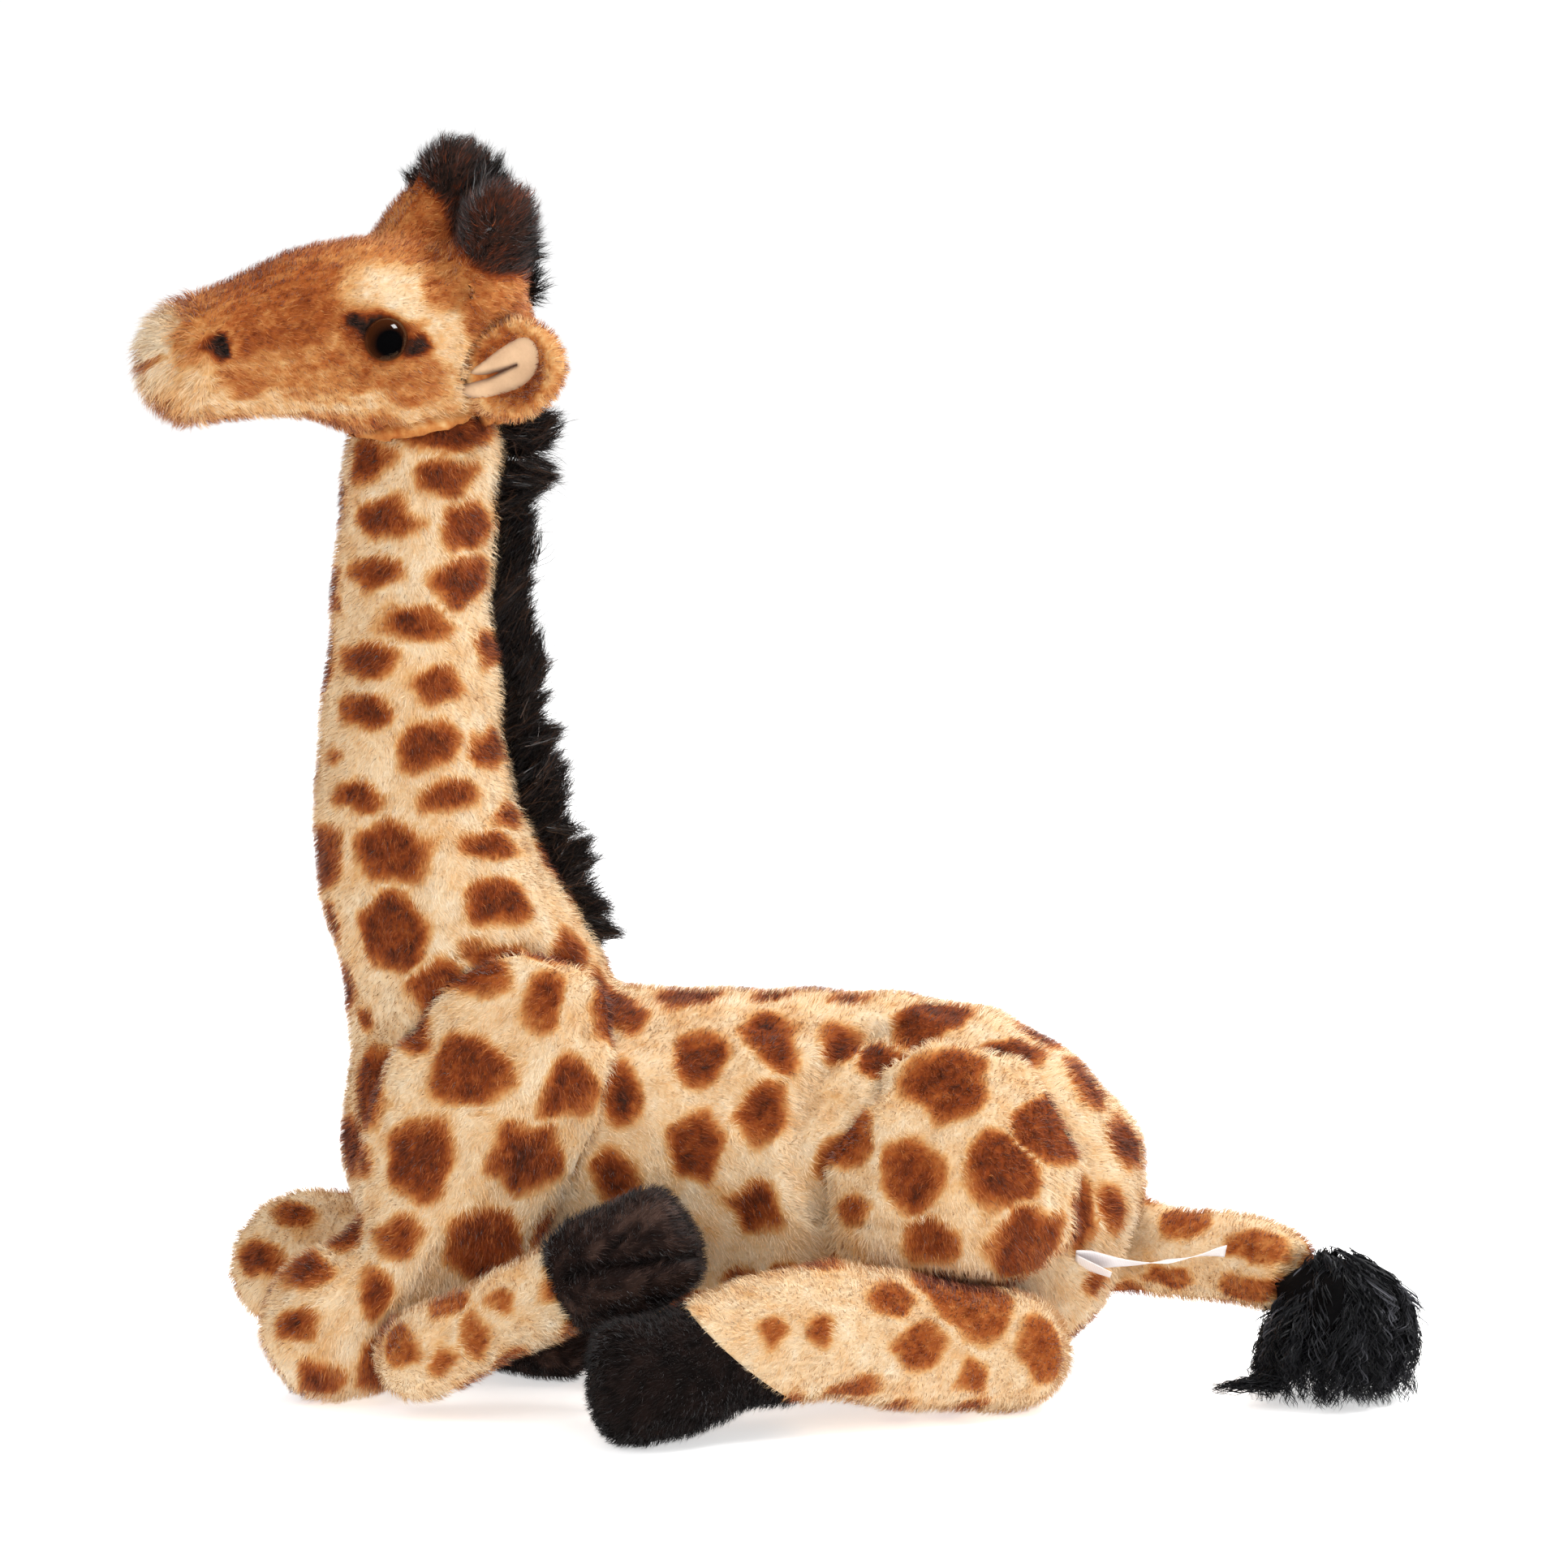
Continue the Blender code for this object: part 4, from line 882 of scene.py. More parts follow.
def patch_cover(u, v, patch, edge):
    """How much an elliptic patch covers at pixels."""
    cu, cv, half_wide, half_high, turn = patch[:5]
    angle = math.radians(turn)
    a = ((u - cu) * math.cos(angle) + (v - cv) * math.sin(angle)) / half_wide
    b = (-(u - cu) * math.sin(angle) + (v - cv) * math.cos(angle)) / half_high
    return smooth(1 + edge, 1 - edge, np.hypot(a, b))


def path_cover(places, path, wide):
    """How near places show to a path of pixels: 1 on it, less and less beside it."""
    return np.exp(-(gap_to_path(np.stack(to_pixels(places), 1), path) / wide) ** 2)


def facing_camera(normals):
    """1 on the side towards the camera, 0 on the other."""
    return smooth(0.0, 0.4, normals @ CAMERA_BACK)


def hoof_tones(places, normals):
    """Tone of the near front hoof, with painted shade in its creases and painted highlights on its crown and
    lower lobe.
    """
    tone = mottled(HOOF_TONE, places, 0.10, 0.12)
    for path, shade_and_highlight, wide in HOOF_PAINTED_SHADING:
        tone = tone + shade_and_highlight * path_cover(places, path, wide) * facing_camera(normals)
    return np.clip(tone, 0.0, 1.0)


def press(skin, cover_at, depth):
    """Presses a skin in on the camera's side, by a depth in millimetres where it is covered."""
    places, normals = points_of(skin.data), normals_of(skin.data)
    sunk = cover_at(places) * facing_camera(normals) * depth * MM
    set_points(skin.data, places - normals * sunk[:, None])


def press_seams(skins):
    """Presses the skins in along the seams and creases that the photograph shows."""
    if "body" in skins:
        press(skins["body"], lambda places: patch_cover(*to_pixels(places), SUNK_PATCH, 0.08), SUNK_DEPTH)
    for names, path, depth, wide in SEAM_LINES:
        for name in names:
            if name in skins:
                press(skins[name], lambda places: path_cover(places, path, wide), depth)


def body_comb(places):
    """Nap of the body: down the neck, back and down along the torso."""
    low = smooth(165 * MM, 95 * MM, places[:, 2])[:, None]
    return np.array((0.05, 0.0, -1.0)) * (1 - low) + np.array((0.75, 0.0, -0.65)) * low


def keep_side(skin, name, place, normal, node):
    """The part of a skin behind a plane, closed where it is cut."""
    piece = new_object(name, skin.data.copy())
    bm = bmesh.new()
    bm.from_mesh(piece.data)
    bmesh.ops.bisect_plane(bm, geom=bm.verts[:] + bm.edges[:] + bm.faces[:], plane_co=place, plane_no=normal,
                           clear_outer=True)
    rim = [edge for edge in bm.edges if edge.is_boundary]
    bmesh.ops.holes_fill(bm, edges=rim, sides=0)
    bm.to_mesh(piece.data)
    bm.free()
    piece.data.shade_smooth()
    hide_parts(node)
    return piece


def make_hind_legs(skins):
    """Hind lower legs with their hooves: one stuffed form each, sewn from two plushes at a slanted seam."""
    low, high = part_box("near_hind_hoof")
    top, bottom = (at_pixel(*pixel, (low.y + high.y) / 2) for pixel in HOOF_LINE)
    line = unit(bottom - top)
    across = np.array((-line[2], 0.0, line[0]))
    hooves = {}
    for side in SIDES:
        leg, hoof = f"{side}_hind_lower_leg", f"{side}_hind_hoof"
        whole = skin_mesh(f"{side}_hind_whole", (leg, hoof), (f"{side}_thigh", "torso"), close=HIND_CLOSE)
        sink(whole.data, 0.5 * MM, 0.0)
        skins[leg] = keep_side(whole, f"{leg}_backing", top, -across, leg)
        hooves[side] = keep_side(whole, f"{hoof}_backing", top, across, hoof)
        bpy.data.objects.remove(whole)
    return hooves


def off_the_cut(skin):
    """Keeps pile off the flat face where two plushes are sewn together."""
    largest = max(skin.data.polygons, key=lambda polygon: polygon.area)
    place, normal = np.array(largest.center), np.array(largest.normal)

    def keep(roots):
        return np.abs((roots - place) @ normal) > CUT_CLEAR
    return keep


def make_legs_and_body():
    """The spotted skins and the hooves, with their pile."""
    skins = {}
    for name, into, *_ in SPOTTED:
        nodes, rounds = (BODY_NODES, 10) if name == "body" else ((name,), 6)
        skins[name] = make_skin(f"{name}_backing", nodes, into, rounds=rounds)
    hooves = make_hind_legs(skins)
    press_seams(skins)
    trees = {name: tree_of(skin.data) for name, skin in skins.items()}
    trees.update({f"{side}_hoof": tree_of(hoof.data) for side, hoof in hooves.items()})
    seen, shown = photo_spots(trees), shown_by(trees)
    for index, (name, _, body, comb, radius, tries, dye) in enumerate(SPOTTED):
        spots = Spots(skins[name], seen[name], radius * MM, tries, 50 + index, shown, dye)
        dress(skins[name], COAT, spots.tones, comb or body_comb, body, "spotted_plush", 100 + index)
    for index, side in enumerate(SIDES):
        sign = 2 * index - 1    # the near side is at negative y
        leg, hoof, hind = f"{side}_hind_lower_leg", f"{side}_front_hoof", f"{side}_hind_lower"
        spots = Spots(skins[leg], seen[leg], *HIND_SPOTS, 70 + index, shown, HIND_DYE)
        dress(skins[leg], COAT, spots.tones, (-1.0, 0.4 * sign, -0.1), hind, "spotted_plush", 120 + index,
              keep=off_the_cut(skins[leg]))
        dress(hooves[side], HOOF, even_tone(0.82, 0.08, 0.10), (-1.0, 0.5 * sign, -0.3), hind, "hoof_plush",
              130 + index, spread=0.08, keep=off_the_cut(hooves[side]))
        skin = make_skin(f"{hoof}_backing", (hoof,), (f"{side}_front_lower_leg",), rounds=5)
        press_seams({hoof: skin})
        tones = hoof_tones if side == "near" else even_tone(HOOF_TONE, 0.12, 0.14)
        dress(skin, HOOF, tones, (1.0, 0.0, 0.2), f"{side}_front_lower", "hoof_plush", 134 + index,
              spread=0.10)


# Head
CAP_PATCHES = (             # the dark fur of the ossicones, as in HEAD_PATCHES
    (572, 208, 72, 50, 38, 0.945, 1.0),
    (598, 250, 44, 58, 40, 0.93, 1.0),
    (618, 285, 60, 56, 20, 0.905, 1.0),
    (660, 300, 30, 50, 0, 0.95, 1.0),
)
STEM_PATCHES = (  # shading of the stems, as in HEAD_PATCHES
    (500, 262, 60, 40, -30, 0.50, 0.9),
    (470, 290, 40, 22, -30, 0.44, 0.8),
    (540, 300, 34, 22, 20, 0.56, 0.8),
    (590, 355, 60, 40, 10, 0.48, 0.9),
    # painted shade in the crease between the near stem and the head
    (545, 375, 18, 46, -25, 0.60, 0.7),
    (610, 385, 40, 14, -10, 0.57, 0.6),
)
STEM_FOOT = 0.60            # how far up the head, as a share of its box, the stems' shading begins
CAP_PILE = 4.6 * MM
HEAD_PILE = 2.5 * MM
LIP_PILE = 5.4 * MM
LIP_AHEAD = 66 * MM         # the longer hair of the lips begins this far ahead of the neck's ball
LIP_SPAN = 9 * MM
EYE_RADIUS = 6.5 * MM
EYE_DOME = 4.8 * MM
EYE_MARGIN = 0.8 * MM       # bare backing round an eye
EYE_REACH = 12 * MM         # and how far along its axis the pile is kept off
HEAD_YAW = math.radians(18)
HEAD_ROLL = math.radians(11)


def joint_place(name):
    """Where a joint turns."""
    return np.array([joint for joint in frame["joints"] if joint["name"] == name][0]["pos_m"])


HEAD_PIVOT = joint_place("head_nod")
HEAD_TURN = np.array((Matrix.Rotation(HEAD_YAW, 3, "Z") @ Matrix.Rotation(HEAD_ROLL, 3, "X")))


def painted(tone, places, pixels, patches, edge, mottle=0.04, share=1.0):
    """A tone with elliptic patches airbrushed over it."""
    speckle = MOTTLE(places) * mottle
    for patch in patches:
        tone = tone + (patch[5] + speckle - tone) * patch_cover(*pixels, patch, edge) * patch[6] * share
    return tone


def cap_cover(places):
    """How much the ossicones' dark fur covers at places."""
    u, v = to_pixels(places + drift(SPOT_WARPS, places) * 0.9 * MM)
    return np.max([patch_cover(u, v, patch, 0.14) for patch in CAP_PATCHES], axis=0)


def head_tones(places, normals):
    """Tone of the head with its ossicones: airbrushed patches, alike on both sides of the face."""
    local = (places - HEAD_PIVOT) @ HEAD_TURN
    local[:, 1] = -np.abs(local[:, 1])
    mirrored = local @ HEAD_TURN.T + HEAD_PIVOT + drift(SPOT_WARPS, places) * 0.8 * MM
    tone = HEAD_TONE + BLOTCH(places) * 0.05 + MOTTLE(places) * 0.05
    tone = np.clip(painted(tone, places, to_pixels(mirrored), HEAD_PATCHES, PATCH_EDGE), 0.0, 1.0)
    low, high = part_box("head")
    foot = low.z + (high.z - low.z) * STEM_FOOT
    pixels, raised = to_pixels(places), smooth(foot, foot + 6 * MM, places[:, 2])
    tone = painted(tone, places, pixels, STEM_PATCHES, 0.45, share=raised)
    tone = painted(tone, places, pixels, CAP_PATCHES, 0.16, mottle=0.02)
    return np.clip(tone + GRAIN(places) * 0.03, 0.0, 1.0)


def lip_cover(places):
    """1 at the lips, 0 behind them."""
    ahead = -((places - HEAD_PIVOT) @ HEAD_TURN)[:, 0]
    return smooth(LIP_AHEAD, LIP_AHEAD + LIP_SPAN, ahead)


def head_comb(places):
    """Nap of the head: back from the nose, up the ossicones, down and out at the lips."""
    cap, lip = cap_cover(places)[:, None], lip_cover(places)[:, None]
    way = np.array((1.0, 0.0, -0.25)) * (1 - cap) + np.array((0.5, 0.0, 0.9)) * cap
    return way * (1 - lip) + np.array((-0.35, -0.2, -0.6)) * lip


def head_pile(places):
    """Length of the head's pile."""
    cap, lip = cap_cover(places), lip_cover(places)
    return HEAD_PILE + (CAP_PILE - HEAD_PILE) * cap + (LIP_PILE - HEAD_PILE) * lip


def eye_axis(side):
    """Outermost point of an eye and its direction."""
    places = points_of(frame["nodes"][f"{side}_eye"].data)
    washer = points_of(frame["nodes"][f"{side}_eye_washer"].data).mean(0)
    axis = unit(places.mean(0) - washer)
    return washer + axis * ((places - washer) @ axis).max(), axis


def clear_of_eyes(roots):
    """Keeps the pile off the eyes."""
    clear = np.ones(len(roots), bool)
    for side in SIDES:
        middle, axis = eye_axis(side)
        along = dots(roots - middle, axis)
        beside = np.linalg.norm(roots - middle - along * axis, axis=1)
        clear &= (beside > EYE_RADIUS + EYE_MARGIN) | (np.abs(along[:, 0]) > EYE_REACH)
    return clear


def make_head():
    """Head with its ossicones, in one plush that is fuller where the stems leave the crown."""
    swell = {"near_ossicone": 2.2 * MM, "far_ossicone": 3.2 * MM, "near_ossicone_tip": -1.6 * MM,
             "far_ossicone_tip": -1.6 * MM}
    head = make_skin("head_backing", ("head", *swell), lumps=0.3 * MM, voxel=1.7 * MM, close=3.5 * MM,
                     swell=swell)
    dress(head, COAT, head_tones, head_comb, "head_body", "head_plush", 140, length=head_pile, density=2.6,
          width=0.22 * MM, tilt=math.radians(46), swirl=0.15, keep=clear_of_eyes)


# Ears
EAR_MIDDLE = (632, 455)     # pixel of the middle of the near ear
EAR_RADII = (61, 61, 62, 59, 61, 63, 62, 58)   # pixels from there to its edge, every 45 degrees
EAR_PROFILE = (  # share of the radius and how far out in millimetres, from the dish over the rim to the back
    (0.00, -3.2), (0.22, -3.0), (0.42, -2.0), (0.58, 0.0), (0.70, 1.7), (0.80, 2.3), (0.90, 1.9), (0.97, 0.4),
    (1.00, -1.4), (0.97, -3.4), (0.88, -5.2), (0.70, -6.8), (0.45, -7.8), (0.00, -8.2),
)
EAR_SEGMENTS = 56
LEAF_PIXELS = (  # outline of the near ear's lining
    (566, 480), (577, 462), (592, 447), (612, 430), (634, 417), (652, 413), (664, 422), (666, 440),
    (658, 462), (640, 479), (616, 488), (590, 491),
)
LEAF_CREASE = ((568, 469), (600, 464), (634, 450))
LEAF_SEGMENTS = 60
LEAF_RINGS = 12
LEAF_THICKNESS = 0.6 * MM
EAR_SPLAY = math.radians(38)


class Ear:
    """An ear's own plane: along the ear and up, and out of it the way that its dish opens."""

    def __init__(self, side):
        sign = -1 if side == "near" else 1
        turn = sign * EAR_SPLAY + HEAD_YAW
        self.side = side
        self.root = joint_place(f"{side}_ear_flop")
        self.along = np.array((math.cos(turn), math.sin(turn), 0.0))
        self.outward = -sign * np.array((self.along[1], -self.along[0], 0.0))

    def to_world(self, flat, out):
        """World place of a place in the plane, so far out of it."""
        return self.root + self.along * flat[0] + UP * flat[1] + self.outward * out

    def flatten(self, places):
        """Places in the plane below world places."""
        local = places - self.root
        return np.stack((local @ self.along, local[:, 2]), 1)

    def under(self, u, v):
        """Where a pixel lies in the plane."""
        ray = pixel_ray(u, v)
        reach = (self.root - CAMERA_PLACE) @ self.outward / (ray @ self.outward)
        place = CAMERA_PLACE + ray * reach - self.root
        return np.array((place @ self.along, place[2]))


def closed_curve(points, count):
    """Smooth closed curve through points."""
    points = np.array(points)
    last = len(points)
    out = []
    for t in np.arange(count) * last / count:
        k, f = int(t), t - int(t)
        a, b, c, d = (points[(k + shift) % last] for shift in (-1, 0, 1, 2))
        out.append(0.5 * (2 * b + (c - a) * f + (2 * a - 5 * b + 4 * c - d) * f ** 2
                          + (3 * b - a - 3 * c + d) * f ** 3))
    return np.array(out)


def ear_depth(flat, middle, reach):
    """How far out the dish of the ear stands at places in its plane."""
    away = flat - middle
    turn = np.mod(np.arctan2(away[:, 1], away[:, 0]), TURN)
    edge = np.interp(turn, np.linspace(0, TURN, 9), np.append(reach, reach[0]))
    front = EAR_PROFILE[:7]
    return np.interp(np.hypot(*away.T) / edge, [row[0] for row in front], [row[1] * MM for row in front])


def ear_mesh(ear, middle, rim):
    """The dish, rim and back of an ear."""
    edge = closed_curve(rim, EAR_SEGMENTS)
    verts = [ear.to_world(middle, EAR_PROFILE[0][1] * MM)]
    for share, out in EAR_PROFILE[1:-1]:
        verts += [ear.to_world(middle + (point - middle) * share, out * MM) for point in edge]
    verts.append(ear.to_world(middle, EAR_PROFILE[-1][1] * MM))
    mesh = mesh_of(f"{ear.side}_ear_backing", verts, ring_faces(EAR_SEGMENTS, len(EAR_PROFILE) - 2, tip=True))
    face_out(mesh)
    return mesh


def make_leaf(ear, outline, crease, middle, reach):
    """Velour lining of an ear: a leaf with a deep fold."""
    centre = outline.mean(0)
    shares = np.linspace(0, 1, LEAF_RINGS + 1)[1:]
    flats = np.array([centre] + [centre + (point - centre) * share for share in shares for point in outline])
    share_of = np.concatenate(([0.0], np.repeat(shares, len(outline))))
    opened = smooth(crease[-1][0] + 1.0 * MM, crease[0][0] + 4.0 * MM, flats[:, 0])
    fold = np.exp(-(gap_to_path(flats, crease) / ((0.55 + 0.9 * opened) * MM)) ** 2)
    swell = (1 - share_of ** 2.6) * 2.0 * MM
    out = ear_depth(flats, middle, reach) + swell + 0.35 * MM - share_of ** 8 * 0.8 * MM
    out -= fold * (1.6 + 1.2 * opened) * MM
    verts = [ear.to_world(flat, height) for flat, height in zip(flats, out)]
    mesh = mesh_of(f"{ear.side}_ear_leaf", verts, ring_faces(len(outline), LEAF_RINGS))
    face_out(mesh, Vector(ear.outward))
    # the tone is painted shade along the fold, and darkens the leaf towards its edge
    store_tone(mesh, np.clip(fold * 0.95 + share_of ** 10 * 0.35, 0, 1))
    leaf = new_object(f"{ear.side}_ear_leaf", mesh)
    add_modifier(leaf, "SOLIDIFY", thickness=LEAF_THICKNESS, offset=-1)
    apply_modifiers(leaf)
    leaf.data.shade_smooth()
    set_material(leaf, VELOUR)
    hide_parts(f"{ear.side}_ear_lining")
    settle((leaf,), f"{ear.side}_ear_body")


def make_ear(side, seed):
    """A dished plush ear with a leaf of velour sewn into it."""
    near, ear = Ear("near"), Ear(side)
    middle = near.under(*EAR_MIDDLE)
    turns = [k * math.pi / 4 for k in range(len(EAR_RADII))]
    rim = [near.under(EAR_MIDDLE[0] + reach * math.cos(turn), EAR_MIDDLE[1] - reach * math.sin(turn))
           for turn, reach in zip(turns, EAR_RADII)]
    reach = np.array([np.linalg.norm(point - middle) for point in rim])
    piece = new_object(f"{side}_ear_backing", ear_mesh(ear, middle, rim))
    add_modifier(piece, "SUBSURF", levels=1)
    apply_modifiers(piece)
    piece.data.shade_smooth()
    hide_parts(f"{side}_ear")
    outline = closed_curve([near.under(*pixel) for pixel in LEAF_PIXELS], LEAF_SEGMENTS)
    make_leaf(ear, outline, [near.under(*pixel) for pixel in LEAF_CREASE], middle, reach)

    def clear_of_leaf(roots):
        centre = outline.mean(0)
        away, edges = ear.flatten(roots) - centre, outline - centre
        turn, around = np.arctan2(away[:, 1], away[:, 0]), np.arctan2(edges[:, 1], edges[:, 0])
        order = np.argsort(around)
        limit = np.interp(turn, around[order], np.hypot(*edges[order].T), period=TURN)
        return (np.hypot(*away.T) > limit * 0.94) | ((roots - ear.root) @ ear.outward < -4.0 * MM)

    def ear_tones(places, normals):
        share = np.hypot(*(ear.flatten(places) - middle).T) / reach.mean()
        # dish is painted shade in the hollow of the ear where it faces out; the tone is paler towards the rim
        dish = smooth(0.9, 0.5, share) * np.clip(normals @ ear.outward, 0, 1)
        return mottled(0.45 - 0.10 * smooth(0.55, 1.0, share) + 0.16 * dish, places, 0.04, 0.04, 0.03)

    def ear_comb(places):
        return unit(places - ear.to_world(middle, 0.0))

    dress(piece, COAT, ear_tones, ear_comb, f"{side}_ear_body", "head_plush", seed, length=2.6 * MM,
          density=3.2, tilt=math.radians(40), width=0.22 * MM, keep=clear_of_leaf)


# Sewn label
LABEL_START = (1325, 1551)   # pixels of the strip's two ends, in the plane of the tail's near side
LABEL_END = (1510, 1541)
LABEL_FOLD = (1369, 1569)
LABEL_ACROSS = 11 * MM
LABEL_PLANE = -40 * MM
LABEL_COLUMNS = 8
LABEL_THICKNESS = 0.16 * MM


def make_strip(name, spine, twist):
    """A thin woven strip along a spine, turned about it, and its length."""
    across = np.stack((np.zeros(len(spine)), -np.sin(twist), np.cos(twist)), 1)
    columns = LABEL_ACROSS / 2 * (2 * np.arange(LABEL_COLUMNS + 1) / LABEL_COLUMNS - 1)
    verts = [point + way * column for point, way in zip(spine, across) for column in columns]
    count = LABEL_COLUMNS + 1
    faces = [(i * count + k, i * count + k + 1, (i + 1) * count + k + 1, (i + 1) * count + k)
             for i in range(len(spine) - 1) for k in range(LABEL_COLUMNS)]
    piece = new_object(name, mesh_of(name, verts, faces))
    add_modifier(piece, "SOLIDIFY", thickness=LABEL_THICKNESS, offset=0)
    apply_modifiers(piece)
    piece.data.shade_smooth()
    set_material(piece, SATIN)
    settle((piece,), "trunk")
    return piece, float(np.linalg.norm(np.diff(spine, axis=0), axis=1).sum())


def make_label():
    """Blank satin label folded at the seam: a long end that twists, and a short one."""
    start = at_pixel(*LABEL_START, LABEL_PLANE + 2 * MM)
    end = at_pixel(*LABEL_END, LABEL_PLANE - 3 * MM)
    steps = np.linspace(0, 1, 45)
    spine = start + (end - start) * steps[:, None]
    spine[:, 2] -= np.sin(np.clip(steps * 1.05, 0, 1) * math.pi) ** 1.3 * 2.6 * MM
    spine[:, 1] += np.sin(steps * 5.2) * 0.9 * MM
    twist = np.radians(np.interp(steps, (0.0, 0.10, 0.30, 0.62, 0.85, 1.0), (52, 50, 66, 84, 74, 60)))
    strip, length = make_strip("sewn_label_strip", spine, twist)
    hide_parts("sewn_label")
    corner = at_pixel(*LABEL_FOLD, LABEL_PLANE - 1 * MM)
    steps = np.linspace(0, 1, 14)
    spine = start - UP * 0.5 * MM + (corner - start) * steps[:, None]
    short, length = make_strip("sewn_label_return", spine, np.radians(np.interp(steps, (0.0, 1.0), (60, 70))))


# Long hair
HAIR_SEGMENTS = 5


def long_hair(name, seed, roots, ways, tips=None, lengths=None, frizz=0.5 * MM, width=0.28 * MM, tones=0.75,
              spread=0.2):
    """Hair that leaves along ways, waves by frizz and gathers to tips where it has them."""
    draw = np.random.default_rng(seed)
    count = len(roots)
    if tips is not None:
        lengths = np.linalg.norm(tips - roots, axis=1)
    steps = np.linspace(0, 1, HAIR_SEGMENTS + 1)[None, :, None]
    lines = roots[:, None, :] + ways[:, None, :] * lengths[:, None, None] * steps
    if tips is not None:
        lines = lines + (tips[:, None, :] - lines[:, -1:, :]) * steps ** 1.5
    phase = draw.uniform(0, TURN, (count, 1, 3))
    pace = draw.uniform(0.7, 1.6, (count, 1, 3)) * TURN
    lines = lines + np.sin(phase + pace * steps) * steps * frizz
    facing = unit(np.cross(ways, unit(draw.normal(size=(count, 3)))))
    shade = shade_index(np.full(count, tones), DARK_STEPS, draw, spread)
    return add_strands(name, lines, facing, width, shade, HAIR_FIBRES)


MANE_LOCKS = (  # pixel of the tip, how steeply it rises in degrees, length, half width of its root
    ((675, 500), 40, 15, 4), ((692, 508), 22, 17, 4), ((697, 520), 8, 17, 4), ((690, 535), 0, 16, 4),
    ((684, 552), -4, 15, 3), ((690, 575), 8, 15, 3), ((697, 588), -4, 17, 3), ((680, 598), -8, 13, 3),
    ((661, 612), 10, 10, 4), ((662, 628), 45, 13, 4), ((660, 648), 50, 14, 4), ((660, 668), 46, 13, 4),
    ((656, 688), 52, 14, 4), ((659, 708), 46, 13, 4), ((655, 728), 54, 14, 4), ((660, 748), 48, 13, 4),
    ((673, 768), 55, 19, 4), ((665, 785), 50, 14, 4), ((686, 808), 38, 18, 4), ((672, 822), 42, 14, 4),
    ((684, 849), 32, 16, 4), ((672, 862), 38, 12, 4), ((672, 884), 40, 12, 4), ((698, 892), 26, 17, 4),
    ((692, 908), 26, 15, 3), ((692, 922), 32, 14, 3), ((703, 938), 36, 16, 4), ((700, 958), 38, 14, 3),
    ((710, 974), 32, 16, 4), ((698, 990), 38, 12, 3), ((704, 1008), 40, 12, 3), ((738, 1027), 32, 19, 4),
    ((728, 1040), 30, 15, 3), ((742, 1053), 22, 17, 4), ((728, 1068), 24, 13, 3), ((724, 1082), 20, 11, 3),
    ((736, 1098), 10, 13, 4), ((752, 1112), -4, 15, 4), ((762, 1126), -14, 16, 4), ((774, 1151), -14, 17, 2),
    ((752, 1150), -10, 13, 4), ((748, 1162), -24, 12, 3),
)
MANE_HAIRS = 210            # in each lock
FLUFF_LOCKS = 150           # small locks between those
FLUFF_HAIRS = 42
MANE_UNDERHAIRS = 7500
WISPS = 5200
CREST_LOCKS = (             # as above
    ((597, 172), 80, 22, 5), ((621, 183), 70, 22, 5), ((632, 205), 62, 20, 5), ((643, 226), 55, 20, 5),
    ((655, 243), 48, 18, 5), ((668, 259), 40, 18, 5), ((674, 282), 28, 17, 4), ((681, 314), 8, 17, 4),
    ((678, 300), 18, 17, 4), ((671, 337), -14, 15, 4), ((664, 350), -30, 12, 3), ((656, 379), 30, 8, 2),
    ((646, 384), 10, 8, 2),
)
FAR_TIP_LOCKS = (           # longer hair on the ossicones' tips, as above
    ((494, 206), 128, 13, 2), ((506, 200), 116, 12, 3), ((518, 182), 112, 15, 2), ((531, 190), 100, 14, 3),
    ((543, 159), 100, 20, 2), ((555, 182), 94, 15, 3), ((567, 166), 92, 18, 2), ((583, 161), 82, 19, 2),
    ((592, 182), 80, 15, 3), ((606, 176), 70, 17, 2), ((621, 184), 60, 17, 2), ((627, 206), 56, 13, 3),
)
NEAR_TIP_LOCKS = (
    ((572, 250), 118, 10, 4), ((588, 234), 104, 11, 4), ((604, 226), 92, 12, 4), ((622, 226), 80, 12, 4),
    ((640, 234), 66, 12, 4), ((654, 248), 52, 12, 4), ((664, 268), 38, 11, 4), ((668, 292), 22, 11, 3),
    ((666, 316), 4, 10, 3),
)
CREST_HAIRS = 190
CREST_UNDERHAIRS = 2600
TIP_HAIRS = 170


def lock_strands(tip, way, length, root_half, count, draw, spread_y=1.6 * MM):
    """Roots, ways and tips of a pointed lock that ends at a place."""
    base = tip - way * length
    roots = base + unit(np.cross(way, AWAY)) * draw.uniform(-1, 1, (count, 1)) * root_half * 1.2
    roots = roots + way * draw.uniform(-0.45, 0.25, (count, 1)) * length
    roots[:, 1] += draw.normal(0, spread_y, count)
    ways = unit(way + draw.normal(0, 0.16, (count, 3)))
    tips = tip + draw.normal(0, 1.0 * MM, (count, 3)) - way * draw.exponential(0.20, (count, 1)) * length
    return roots, ways, tips


def rising(rise, sway, draw):
    """A direction that rises backwards by some degrees and sways sideways."""
    angle = math.radians(rise)
    return unit(np.array((math.cos(angle), draw.normal(0, sway), math.sin(angle))))


def locks_of(rows, middle, wander, sway, hairs, draw, spread_y=2.4 * MM):
    """The strands of each lock in a table, their tips about a depth."""
    found = []
    for (u, v), rise, length, root_half in rows:
        tip = at_pixel(u, v, middle + draw.normal(0, wander))
        way = rising(rise, sway, draw)
        found.append(lock_strands(tip, way, length * MM, root_half * MM, hairs, draw, spread_y))
    return found


def joined(parts):
    """Roots, ways and tips of several locks."""
    return [np.concatenate(part) for part in zip(*parts)]


def hair_skin(name, node, carrier, voxel, rounds, grow, tone):
    """The dark backing under long hair."""
    skin = make_skin(f"{name}_backing", (node,), (carrier,), lumps=0, voxel=voxel, rounds=rounds, grow=grow)
    store_tone(skin.data, mottled(tone, points_of(skin.data), 0.03, 0.04))
    skin.data.materials.append(HAIR_BACKING)
    return skin


